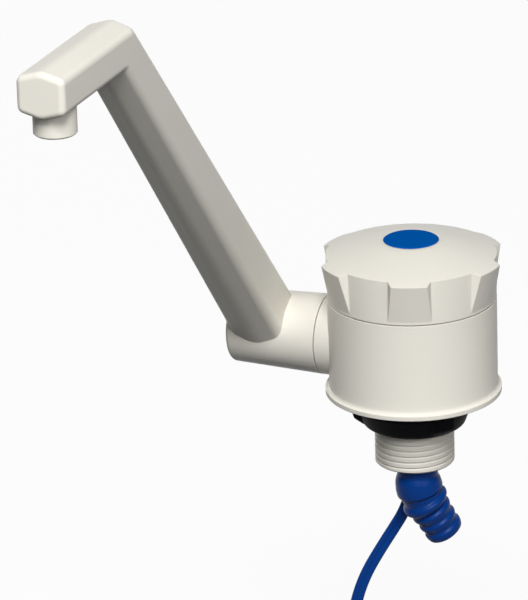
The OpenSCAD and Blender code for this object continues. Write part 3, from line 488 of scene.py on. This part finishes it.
def closed_tube(rings):
    """Rings of points, all of one count, joined into a solid with a flat face at each end.

    Where the sum of each quad's place times its normal is below zero, the faces point inwards, and
    all are turned round.
    """
    n, m = rings.shape[:2]
    points, quads = rings.reshape(-1, 3), grid_faces(n, m, wrap_columns=True)
    faces = quads.tolist() + [list(range(m - 1, -1, -1)), list(range((n - 1) * m, n * m))]
    a, b, c = (points[quads[:, k]] for k in (0, 1, 2))
    inside_out = np.einsum("ij,ij->", a - points.mean(0), np.cross(b - a, c - a)) < 0
    return points, [face[::-1] for face in faces] if inside_out else faces


def turned(profile, start, along, up, count=120):
    """Solid of revolution: each [radius, height] of a profile becomes a circle round a line.

    The line begins at the point start and runs in the direction along; up is square to it.
    """
    along, up = unit(np.asarray(along, float)), unit(np.asarray(up, float))
    a = np.linspace(0, 2 * np.pi, count, endpoint=False)[:, None]
    circle = np.cos(a) * up + np.sin(a) * np.cross(along, up)
    return closed_tube(start + profile[:, :1, None] * circle + profile[:, 1:, None] * along)


def carve(base, tools):
    """Joins tools to a solid or cuts them out of it, in turn, and keeps the resulting mesh."""
    helpers = []
    for operation, (points, faces) in tools:
        helpers.append(mesh_object("tool", points, faces))
        step = base.modifiers.new("carve", "BOOLEAN")
        step.operation, step.solver, step.object = operation, "EXACT", helpers[-1]
    carved = bpy.data.meshes.new_from_object(base.evaluated_get(bpy.context.evaluated_depsgraph_get()))
    base.modifiers.clear()
    base.data = carved
    for helper in helpers:
        bpy.data.objects.remove(helper)


def settle_normals(made):
    """Smooth shading that follows the large flat faces."""
    smooth(made.data)
    step = made.modifiers.new("settle", "WEIGHTED_NORMAL")
    step.keep_sharp = True
    step.mode = "FACE_AREA_WITH_ANGLE"


def bent_pipe(profile, bend_point, start, bend_radius, bend, aside, columns=96):
    """Pipe down a line that turns aside once, from a profile that closes on itself.

    Each [s, radius] of the profile becomes a ring s below the height start. The middle line runs
    straight down, then along an arc of the bend's radius that touches both straights of the bend
    point, then straight on: with p the angle turned so far, the heading is down cos p + out sin p.
    """
    down, out = -UP, np.array([math.cos(aside), math.sin(aside), 0])
    reach = bend_radius * math.tan(bend / 2)
    arc_start = start - bend_point[2] - reach
    s, radius = profile.T[:, :, None]
    p = np.clip((s - arc_start) / bend_radius, 0, bend)
    after = np.clip(s - arc_start - bend_radius * bend, 0, None)
    middle = (bend_point - reach * down + np.minimum(s - arc_start, 0) * down
              + bend_radius * ((1 - np.cos(p)) * out + np.sin(p) * down)
              + after * (math.cos(bend) * down + math.sin(bend) * out))
    across = np.cos(p) * out - np.sin(p) * down
    a = np.linspace(0, 2 * np.pi, columns, endpoint=False)[:, None]
    circle = np.cos(a) * across[:, None] + np.sin(a) * np.cross(down, out)
    points = middle[:, None] + radius[:, None] * circle
    faces = grid_faces(len(profile), columns, wrap_rows=True, wrap_columns=True)
    return points.reshape(-1, 3), faces


def smooth_route(points, steps):
    """Catmull-Rom curve through the points, each stretch cut into steps."""
    p = np.asarray(points, float)
    ends = np.vstack([2 * p[0] - p[1], p, 2 * p[-1] - p[-2]])
    a, b, c, d = (q[:, None, :] for q in (ends[:-3], ends[1:-2], ends[2:-1], ends[3:]))
    t = (np.arange(steps) / steps)[None, :, None]
    line = 0.5 * (2 * b + (c - a) * t + (2 * a - 5 * b + 4 * c - d) * t ** 2
                  + (3 * b - a - 3 * c + d) * t ** 3)
    return np.vstack([line.reshape(-1, 3), p[-1:]])


def twin_outline(width, thickness, web, count=36):
    """Outline of a flat twin cable: two round cores side by side, with a web between them.

    Along the width x, the half thickness is that of a circle round each core, and never less than
    half of the web between the cores.
    """
    r = thickness / 2
    a = np.linspace(0, 2 * np.pi, count, endpoint=False)
    x = width / 2 * np.cos(a)
    from_core = np.abs(np.abs(x) - (width / 2 - r))
    y = np.sqrt(np.clip(r ** 2 - from_core ** 2, 0, None))
    y = np.where(np.abs(x) < width / 2 - r, np.maximum(y, web / 2), y)
    return np.stack([x, y * np.sign(np.sin(a))], 1)


def sweep(line, outline, across):
    """Carries an outline along a line, its width held near one direction, and closes both ends.

    At each point the heading d comes from its neighbours; v is d x across and u is v x d, and the
    outline's two numbers go along u and v.
    """
    d = unit(np.gradient(line, axis=0))
    v = unit(np.cross(d, across))
    u = np.cross(v, d)
    return closed_tube(line[:, None] + outline[:, :1] * u[:, None] + outline[:, 1:] * v[:, None])


def joined(parts):
    """Several lists of points and faces as one, the numbers in the faces counted on."""
    starts = np.cumsum([0] + [len(points) for points, _ in parts[:-1]])
    faces = [[int(start) + i for i in face] for start, (_, some) in zip(starts, parts) for face in some]
    return np.vstack([points for points, _ in parts]), faces


# Pieces


# The spout's sizes in millimetres, as in the part's source; ELBOW and FOOT are [y, z] of its middle line
ARM_X, FOOT_X, REACH = -50.5, -52.1, 171.0
ELBOW, FOOT = np.array([-129.85, 156.35]), np.array([0.5, 16.3])
LEAN = math.atan2(FOOT[0] - ELBOW[0], ELBOW[1] - FOOT[1])
HUB_FACE, HUB_END = 30.975, 63.4
HUB_MIDDLE, OUTWARD = np.array([0, 0, FOOT[1]]) * MM, np.array([-1.0, 0, 0])

# The cable's and the leads' points in millimetres, as in the part's source
CABLE_EXIT = (-4.0, 8.0, -25.8)
ROUTE = [
    CABLE_EXIT,
    (-4, 8, -31), (-4.2, 7.9, -36), (-4.8, 7.7, -41), (-5.8, 7.3, -45.5), (-7.6, 6.6, -50),
    (-9.9, 5.8, -54.2), (-12.9, 4.7, -59.4), (-15.8, 3.6, -64.6), (-18.4, 2.6, -69.6), (-20.6, 1.8, -74.8),
    (-22.3, 1.2, -80.2), (-23.6, 0.7, -86), (-24.5, 0.4, -92), (-25, 0.1, -98), (-25.2, 0, -104),
    (-25.2, 0, -110), (-25.2, 0, -116), (-25.2, 0, -122),
]
INNER_ROUTE = [
    CABLE_EXIT, (-4, 8, -18), (-4, 8, -8), (-4, 8, -1), (-4, 8, 2.5), (-4.2, 8.5, 4.7), (-4.9, 9.8, 6.1),
    (-5.8, 11.5, 6.2), (-6.5, 13.1, 5.4), (-7.2, 14.5, 5.06), (-8.3, 16.6, 5.06), (-9.2, 18.4, 5.06),
]
LEADS = [
    [
        (-8.266, 18.992, 5.06), (-8.735, 19.877, 5.06), (-8.985, 20.39, 6.6), (-7.946, 20.93, 8.2),
        (-3.98, 21.3, 9.4), (2.814, 21.116, 11.2), (9.514, 19.013, 14.5), (15.777, 14.694, 18),
        (18.6, 10.4, 20), (20.4, 4.8, 22), (21.2, 0, 24), (21.05, -2.3, 27.35), (21.05, -2.3, 29.73),
    ],
    [
        (-10.234, 18.008, 5.06), (-10.865, 19.323, 5.06), (-10.815, 21.61, 6.6), (-8.454, 23.07, 8.2),
        (-4.02, 23.5, 9.4), (3.186, 23.284, 11.2), (10.486, 20.987, 14.5), (17.023, 16.506, 18),
        (20.6, 10, 23), (21.2, 6, 25.6), (21.05, 2.3, 27.35), (21.05, 2.3, 29.73),
    ],
]
CABLE_TURN = math.radians(20)
COIL_AXIS = np.array([math.cos(CABLE_TURN), math.sin(CABLE_TURN), 0])
COIL_AWAY = np.array([-math.sin(CABLE_TURN), math.cos(CABLE_TURN), 0])


class TAP_OT_mouldings(bpy.types.Operator):
    """Finish the knob and the small mouldings, and mix the plastics of the new pieces"""

    bl_idname = "tap.mouldings"
    bl_label = "Finish mouldings"

    def execute(self, context):
        # No name here is one of the record's slots, whose plain materials come with the frame
        s = context.scene.tap_mouldings
        dress(moulded("white_moulding", s.white, specular=0.05), "hub_cap", "nozzle")
        dress(moulded("white_knob", s.white, edge=0.5 * MM, specular=0.08), "knob")
        dress(moulded("blue_disc", s.disc_blue, rough=(0.5, 0.6), edge=0.15 * MM, specular=0.0), "knob_disc")
        black = moulded(
            "black_moulding", s.black, rough=(0.45, 0.6), edge=0.25 * MM, grain=0.03 * MM, specular=0.03)
        dress(black, "clamp_washer", "switch_case", "cable_tie")
        moulded("blue_tail", shade(s.tail_blue, 0.85), rough=(0.3, 0.42), edge=0.2 * MM, specular=0.1)
        moulded("cable_sheath", s.tail_blue, rough=(0.34, 0.46), edge=0.1 * MM, specular=0.1)
        return {"FINISHED"}


def stood_up(section, x, y, z, up):
    """Section stood up at a place: its first number runs along x, its second along up, as [y, z]."""
    return np.stack([section[:, 0] + x, y + up[0] * section[:, 1], z + up[1] * section[:, 1]], 1)


def spout_outside(s):
    """Head and arm in one solid, as sections from the head's front face to the arm's foot.

    Round the front face, the head's section is set in by front * (1 - sin a) and back by
    front * (1 - cos a), with a over a quarter turn. Each line of the head then turns into the arm
    along a parabola, whose middle control point is the line's corner in the elbow's mitre.
    """
    width, side, gable, front_y = 16.0, 11.3, 2.2, -181.5
    foot_width, foot_side, foot_gable = 19.2, 17, 2.6
    mitre_shift, least_radius = 6.3, 0.2
    front, turn = s.front_edge / MM, s.elbow / MM
    radii = np.array([s.side_edge, s.side_edge, s.ridge] * 2) / MM
    foot_radii = np.array([s.arm_edge, s.arm_edge, s.arm_ridge] * 2) / MM
    slope = math.atan2(gable, width / 2)
    rings = []
    for a in np.linspace(0, np.pi / 2, 9):
        inset = front * (1 - math.sin(a))
        section = gabled_section(
            width - 2 * inset, side - 2 * inset * (1 - math.sin(slope)) / math.cos(slope),
            (width / 2 - inset) * math.tan(slope), np.maximum(radii - inset, least_radius))
        rings.append(stood_up(section, ARM_X, front_y + front * (1 - math.cos(a)), ELBOW[1], (0, 1)))
    mitre = gabled_section(width, side, gable, radii)
    mitre = stood_up(mitre, ARM_X, *ELBOW, (mitre_shift / side, 1))
    foot = gabled_section(foot_width, foot_side, foot_gable, foot_radii)
    foot = stood_up(foot, FOOT_X, *FOOT, (math.cos(LEAN), math.sin(LEAN)))
    before, after = mitre + np.array([0, -turn, 0]), mitre + turn * unit(foot - mitre)
    for t in np.linspace(0, 1, 7):
        rings.append((1 - t) ** 2 * before + 2 * t * (1 - t) * mitre + t ** 2 * after)
    for t in np.linspace(0, 1, 9)[1:]:
        rings.append(after + (foot - after) * t)
    return closed_tube(np.array(rings) * MM)


def hub_outside():
    """Hub turned about its line, a little narrower at its far end, whose edge is a quarter circle."""
    near_radius, far_radius, edge = 13.7, 12.65, 1.5
    a = np.linspace(0, np.pi / 2, 9)
    far_end = np.stack([far_radius - edge * (1 - np.cos(a)), HUB_END - edge * (1 - np.sin(a))], 1)
    return turned(np.vstack([[near_radius, HUB_FACE], far_end]) * MM, HUB_MIDDLE, OUTWARD, UP)


def stop_lug():
    """Lug on the hub's face that meets the stops of the body's socket, as a part of a ring.

    Each corner [radius, distance] of its section turns about the hub's line by an angle t: x is
    minus the distance, y the radius times sin t, and z the radius times cos t above the line.
    """
    fold, spread, height, root = 48, 20, 2, 1
    inner, outer = 10.9, 12.3
    low, high = HUB_FACE - height, HUB_FACE + root
    t = np.radians(180 + fold / 2 - spread / 2 + np.linspace(0, spread, 9))[:, None, None]
    corner = np.array([[inner, low], [outer, low], [outer, high], [inner, high]]) * MM
    return closed_tube(HUB_MIDDLE + np.concatenate([
        0 * t - corner[:, 1:], corner[:, :1] * np.sin(t), corner[:, :1] * np.cos(t)], 2))


def bar(radius, low, high, start, along, up, count=96):
    """Round bar between two distances along a line, in millimetres, to cut a bore with."""
    return turned(np.array([[radius, low], [radius, high]]) * MM, start, along, up, count)


def spout_bores():
    """Bores of the hub, then the water way up the arm, along the head and down to the nozzle's seat.

    Where a bore opens outwards or into another one, its bar reaches past the opening.
    """
    journal_radius, journal_end, tip_radius, tip_start = 10, 57.6, 5.95, 50
    cap_radius, cap_floor = 9.42, 59.2
    arm_radius, arm_end, head_radius = 3.4, 192.3, 3.1
    seat_radius, seat_top, seat_open, head_low = 6.82, 151.7, 140, 148.5
    past = 1
    across, back, down = np.array([1.0, 0, 0]), np.array([0, 1.0, 0]), -UP
    arm_foot, head_middle, outlet = (
        np.array(place) * MM for place in ((ARM_X, *FOOT), (ARM_X, 0, ELBOW[1]), (ARM_X, -REACH, 0)))
    up_arm = np.array([0, -math.sin(LEAN), math.cos(LEAN)])
    return [
        bar(journal_radius, HUB_FACE - 5 * past, journal_end, HUB_MIDDLE, OUTWARD, UP),
        bar(tip_radius, tip_start, HUB_END + past, HUB_MIDDLE, OUTWARD, UP),
        bar(cap_radius, cap_floor, HUB_END + past, HUB_MIDDLE, OUTWARD, UP),
        bar(arm_radius, 0, arm_end, arm_foot, up_arm, across),
        bar(head_radius, -REACH - 2 * past, ELBOW[0] + 2 * past, head_middle, back, UP),
        bar(arm_radius, -ELBOW[1] - past, -head_low, outlet, down, back),
        bar(seat_radius, -seat_top, -seat_open, outlet, down, back),
    ]


class TAP_OT_spout(bpy.types.Operator):
    """Build the spout with its soft edges and its water way"""

    bl_idname = "tap.spout"
    bl_label = "Build spout"

    def execute(self, context):
        points, faces = spout_outside(context.scene.tap_spout)
        spout = piece("moulded_spout", points, faces, "white_moulding", "spout", "white_plastic")
        cuts = [("DIFFERENCE", bore) for bore in spout_bores()]
        carve(spout, [("UNION", hub_outside()), *cuts, ("UNION", stop_lug())])
        settle_normals(spout)
        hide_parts("spout")
        return {"FINISHED"}


class TAP_OT_body(bpy.types.Operator):
    """Build the body with its threaded shank"""

    bl_idname = "tap.body"
    bl_label = "Build threaded body"

    def execute(self, context):
        # The thread's skin runs on a little into the foot, so that no gap shows above it
        chamfer, in_foot, near = 0.5 * MM, 1.25 * MM, 0.01 * MM
        points, triangles = cad_mesh("tap_body")
        r, z = np.hypot(points[:, 0], points[:, 1]), points[:, 2]
        at_end = z < z.min() + near
        bore, shank = r[at_end].min(), r[at_end].max()
        on_wall = (np.abs(r - shank) < 2 * near) & (z < near)
        wall, end_face = on_wall[triangles].all(1), at_end[triangles].all(1)
        if not wall.any() or not end_face.any():
            raise RuntimeError("the shank's wall or end face was not found in the body")
        kept = triangles[~(wall | end_face)]
        skin, quads = threaded_shank(context.scene.tap_thread, bore, shank, chamfer, z.min(), in_foot)
        points, faces = joined([(points, kept.tolist()), (skin, quads.tolist())])
        body = piece("moulded_body", points, faces, "white_moulding", "tap", "white_plastic")
        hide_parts("tap_body")
        return {"FINISHED"}


class TAP_OT_nut(bpy.types.Operator):
    """Build the winged nut"""

    bl_idname = "tap.nut"
    bl_label = "Build winged nut"

    def execute(self, context):
        first_wing = math.radians(200)
        cad, _ = cad_mesh("fixing_nut")
        bore = np.hypot(cad[:, 0], cad[:, 1]).min()
        points, faces = winged_cone(context.scene.tap_nut, bore, cad[:, 2].min(), cad[:, 2].max(), first_wing)
        nut = piece("moulded_nut", points, faces, "black_moulding", "nut", "black_plastic")
        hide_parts("fixing_nut")
        return {"FINISHED"}


def tail_outside(shank_end, plug_top, softness):
    """Profile of the hose tail's outside, in millimetres, as [distance below the shank's end, radius].

    The plug and its groove have sharp corners. Below the shank's end, the radius is the mean of the
    ridges' own over three times the softness.
    """
    plug, edge, groove, groove_low, groove_high = 5.39, 0.5, 4.2, -4.95, -3.05
    shoulder, stem, stem_low = -9.51, 6.9, -24
    step, window = 0.2, np.linspace(-1.5, 1.5, 13)[:, None] * softness
    # Corners of the plug and the stem, as heights and radii
    upper = np.array([
        (plug_top, plug - edge), (plug_top - edge, plug), (groove_high, plug), (groove_high, groove),
        (groove_low, groove), (groove_low, plug), (shoulder, plug), (shoulder, stem), (stem_low, stem)])
    # Corners of the ridges, as distances below the shank's end and radii
    ridges = np.array([
        (0.0, stem), (3.6, stem), (5.6, 7.7), (8.2, 8.0), (9.8, 8.0), (10.8, 7.1), (12.9, 6.9),
        (14.0, 8.15), (15.2, 8.1), (17.5, 6.25), (18.3, 7.1), (19.0, 7.05), (21.5, 6.05), (22.3, 6.8),
        (23.0, 6.75), (25.3, 5.9), (26.1, 6.7), (27.4, 6.6), (28.6, 6.2), (29.2, 5.2)])
    place = np.arange(0, ridges[-1, 0], step)
    radius = np.interp(place + window, ridges[:, 0], ridges[:, 1]).mean(0)
    upper[:, 0] = shank_end - upper[:, 0]
    return np.vstack([upper, np.stack([place, radius], 1), ridges[-1:]])


class TAP_OT_tail(bpy.types.Operator):
    """Build the hose tail with its plug, its bend and its ridges"""

    bl_idname = "tap.tail"
    bl_label = "Build hose tail"

    def execute(self, context):
        s = context.scene.tap_tail
        bend_point, bend, aside = np.array([2.0, -3.0, -35.6]), math.radians(30), math.radians(36)
        shank_end, plug_top, bore_rings, smooth_angle = -25.8, 2.0, 90, 50
        outside = tail_outside(shank_end, plug_top, s.softness / MM)
        place = np.linspace(outside[-1, 0], outside[0, 0], bore_rings)
        inside = np.stack([place, 0 * place + s.bore / MM], 1)
        points, faces = bent_pipe(
            np.vstack([outside, inside]), bend_point, shank_end, s.bend_radius / MM, bend, aside)
        tail = piece("moulded_tail", points * MM, faces, "blue_tail", "tap", "blue_plastic", smooth_angle)
        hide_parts("hose_tail")
        return {"FINISHED"}


def coil_points(s, start, rings=24):
    """Points of the coil, which begins at a point and goes straight down from there.

    After t turns, with the angle a = pi + 2 pi t, a point lies radius * (1 + cos a) away,
    radius * sin a up, and pitch * t along the coil's axis.
    """
    t = np.arange(int(s.coil_turns * rings) + 1)[:, None] / rings
    a = np.pi + 2 * np.pi * t
    return (start + COIL_AWAY * s.coil_radius * (1 + np.cos(a)) + UP * s.coil_radius * np.sin(a)
            + COIL_AXIS * s.coil_pitch * t)


class TAP_OT_cable(bpy.types.Operator):
    """Lay the flat twin cable from the shank down to its coil, and its run inside the tap"""

    bl_idname = "tap.cable"
    bl_label = "Lay cable"

    def execute(self, context):
        s = context.scene.tap_cable
        gap, finish = 1 * MM, ("cable_sheath", "tap", "blue_cable")
        outline = twin_outline(s.width, s.thickness, s.web)
        route = np.array(ROUTE) * MM
        coil = coil_points(s, route[-1] - gap * UP)
        line = np.vstack([smooth_route(route, 5), smooth_route(coil, 3)])
        cable = piece("twin_cable", *sweep(line, outline, COIL_AXIS), *finish)
        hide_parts("switch_cable", "cable_coil")

        inner_line = smooth_route(np.array(INNER_ROUTE) * MM, 4)
        inner = piece("inner_twin_cable", *sweep(inner_line, outline, COIL_AXIS), *finish)
        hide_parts("inner_cable")

        # No stretch of a lead runs this way, so that its rings keep their turn
        across = (0.3, 0.5, 1)
        a = np.linspace(0, 2 * np.pi, 20, endpoint=False)
        core = np.stack([np.cos(a), np.sin(a)], 1) * s.lead / 2
        lines = [smooth_route(np.array(lead) * MM, 5) for lead in LEADS]
        leads = piece("insulated_leads", *joined([sweep(line, core, across) for line in lines]), *finish)
        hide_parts("inner_leads")
        return {"FINISHED"}


class TAP_OT_fittings(bpy.types.Operator):
    """Finish the seals, screws and brass fittings"""

    bl_idname = "tap.fittings"
    bl_label = "Finish fittings"

    def execute(self, context):
        dress(rubber("seal_rubber", (0.02, 0.02, 0.021)),
              "deck_gasket", "spindle_seals", "nose_seal", "hub_seals", "tail_seal")
        dress(metal("plain_steel", (0.62, 0.62, 0.64), 0.34, (1, 1, 12)),
              "housing_screws", "spigot_clip", "hub_washer", "hub_screw", "knob_screw", "switch_lever",
              "lever_pin", "switch_screws", "clamp_screws")
        dress(metal("turned_brass", (0.78, 0.58, 0.28), 0.28, (1, 1, 20)),
              "valve_spindle", "gland_nut", "outlet_spigot", "switch_terminals")
        dress(moulded("milky_moulding", (0.72, 0.72, 0.68), rough=(0.36, 0.5)),
              "valve_housing", "flow_straightener", "switch_cam", "cable_clamp")
        dress(moulded("red_button", (0.5, 0.03, 0.02)), "switch_plunger")
        dress(metal("tinned_strands", (0.66, 0.64, 0.6), 0.35, (14, 2, 14)), "core_ends")
        return {"FINISHED"}


def curved_floor(material, low):
    """Floor that turns up into a wall behind: straight, then a quarter circle, then straight."""
    half_width, front, bend_radius, bend_start, top = 7.0, -6.0, 2.0, 4.0, 7.0
    a = np.linspace(0, np.pi / 2, 17)
    y = np.concatenate([[front], bend_start + bend_radius * np.sin(a), [bend_start + bend_radius]])
    z = np.concatenate([[0.0], bend_radius * (1 - np.cos(a)), [top]]) + low
    x = np.linspace(-half_width, half_width, 5)
    grid = np.stack([np.tile(x, len(y)), np.repeat(y, len(x)), np.repeat(z, len(x))], 1)
    floor = mesh_object("studio_floor", grid, grid_faces(len(y), len(x)))
    floor.data.shade_smooth()
    floor.data.materials.append(material)


def place_facing(name, data, target, away, aside, above, roll=0.0):
    """A lamp or camera that looks at a point from a distance.

    It stands aside degrees to the right of the front and above degrees over the floor, as seen from
    the point, and is turned by roll about its own line of sight.
    """
    aside, above, roll = np.radians([aside, above, roll])
    back = np.array([np.cos(above) * np.sin(aside), -np.cos(above) * np.cos(aside), np.sin(above)])
    level = unit(np.cross(UP, back))
    right = np.cos(roll) * level - np.sin(roll) * np.cross(back, level)
    turn = np.column_stack([right, np.cross(back, right), back, np.array(target) + away * back])
    made = bpy.data.objects.new(name, data)
    made.matrix_world = Matrix(np.vstack([turn, [0, 0, 0, 1]]).tolist())
    bpy.context.scene.collection.objects.link(made)
    return made


def square_lamp(name, aside, above, power):
    """Square area lamp turned towards the tap."""
    target, away, size = (0, -0.06, 0.05), 1.8, 0.6
    data = bpy.data.lights.new(name, "AREA")
    data.shape, data.size, data.energy = "SQUARE", size, power
    place_facing(name, data, target, away, aside, above)


def photo_camera(lens):
    """Camera at the photograph's viewing angle."""
    target, away = np.array([-53.555, -0.299, 26.055]) * MM, 1.7
    aside, above, roll = 22.1376, 20.5692, 1.681
    data = bpy.data.cameras.new("camera")
    data.sensor_width = 36
    data.lens = lens
    data.clip_start, data.clip_end = 0.05, 30
    return place_facing("camera", data, target, away, aside, above, roll)


class TAP_OT_stage(bpy.types.Operator):
    """Set the floor, the lamps and the camera"""

    bl_idname = "tap.stage"
    bl_label = "Set stage"

    def execute(self, context):
        scene = context.scene
        s = scene.tap_stage
        curved_floor(pale_backdrop("pale_floor"), CAD_BOX[0][2] - 0.5 * MM)
        world = bpy.data.worlds.new("plain_surround")
        world.use_nodes = True
        background = world.node_tree.nodes["Background"]
        background.inputs["Color"].default_value = (1, 1, 1, 1)
        background.inputs["Strength"].default_value = s.sky
        scene.world = world
        square_lamp("key_lamp", 20, 48, s.key)
        square_lamp("fill_lamp", 60, 25, s.fill)
        square_lamp("front_lamp", 20, 25, s.front)
        square_lamp("back_lamp", 235, 2, s.back)
        scene.camera = photo_camera(s.lens)
        scene.view_settings.view_transform = "Standard"
        return {"FINISHED"}


class TAP_PT_panel(bpy.types.Panel):
    """Steps that finish the tap"""

    bl_idname = "TAP_PT_panel"
    bl_label = "Fold-down tap"
    bl_space_type = "VIEW_3D"
    bl_region_type = "UI"
    bl_category = "Tap"

    def draw(self, context):
        for step in STEPS:
            self.layout.operator(step.bl_idname)


GROUPS = {
    "tap_mouldings": MouldingSettings,
    "tap_spout": SpoutSettings,
    "tap_thread": ThreadSettings,
    "tap_nut": NutSettings,
    "tap_tail": TailSettings,
    "tap_cable": CableSettings,
    "tap_stage": StageSettings,
}
STEPS = [
    TAP_OT_stage, TAP_OT_mouldings, TAP_OT_spout, TAP_OT_body, TAP_OT_nut, TAP_OT_tail, TAP_OT_cable,
    TAP_OT_fittings,
]


def register():
    for cls in [*GROUPS.values(), *STEPS, TAP_PT_panel]:
        bpy.utils.register_class(cls)
    for name, group in GROUPS.items():
        setattr(bpy.types.Scene, name, PointerProperty(type=group))


def unregister():
    for name in GROUPS:
        delattr(bpy.types.Scene, name)
    for cls in reversed([*GROUPS.values(), *STEPS, TAP_PT_panel]):
        bpy.utils.unregister_class(cls)


def main():
    register()
    bpy.ops.tap.stage()
    bpy.ops.tap.mouldings()
    bpy.ops.tap.spout()
    bpy.ops.tap.body()
    bpy.ops.tap.nut()
    bpy.ops.tap.tail()
    bpy.ops.tap.cable()
    bpy.ops.tap.fittings()


if __name__ == "__main__":
    main()
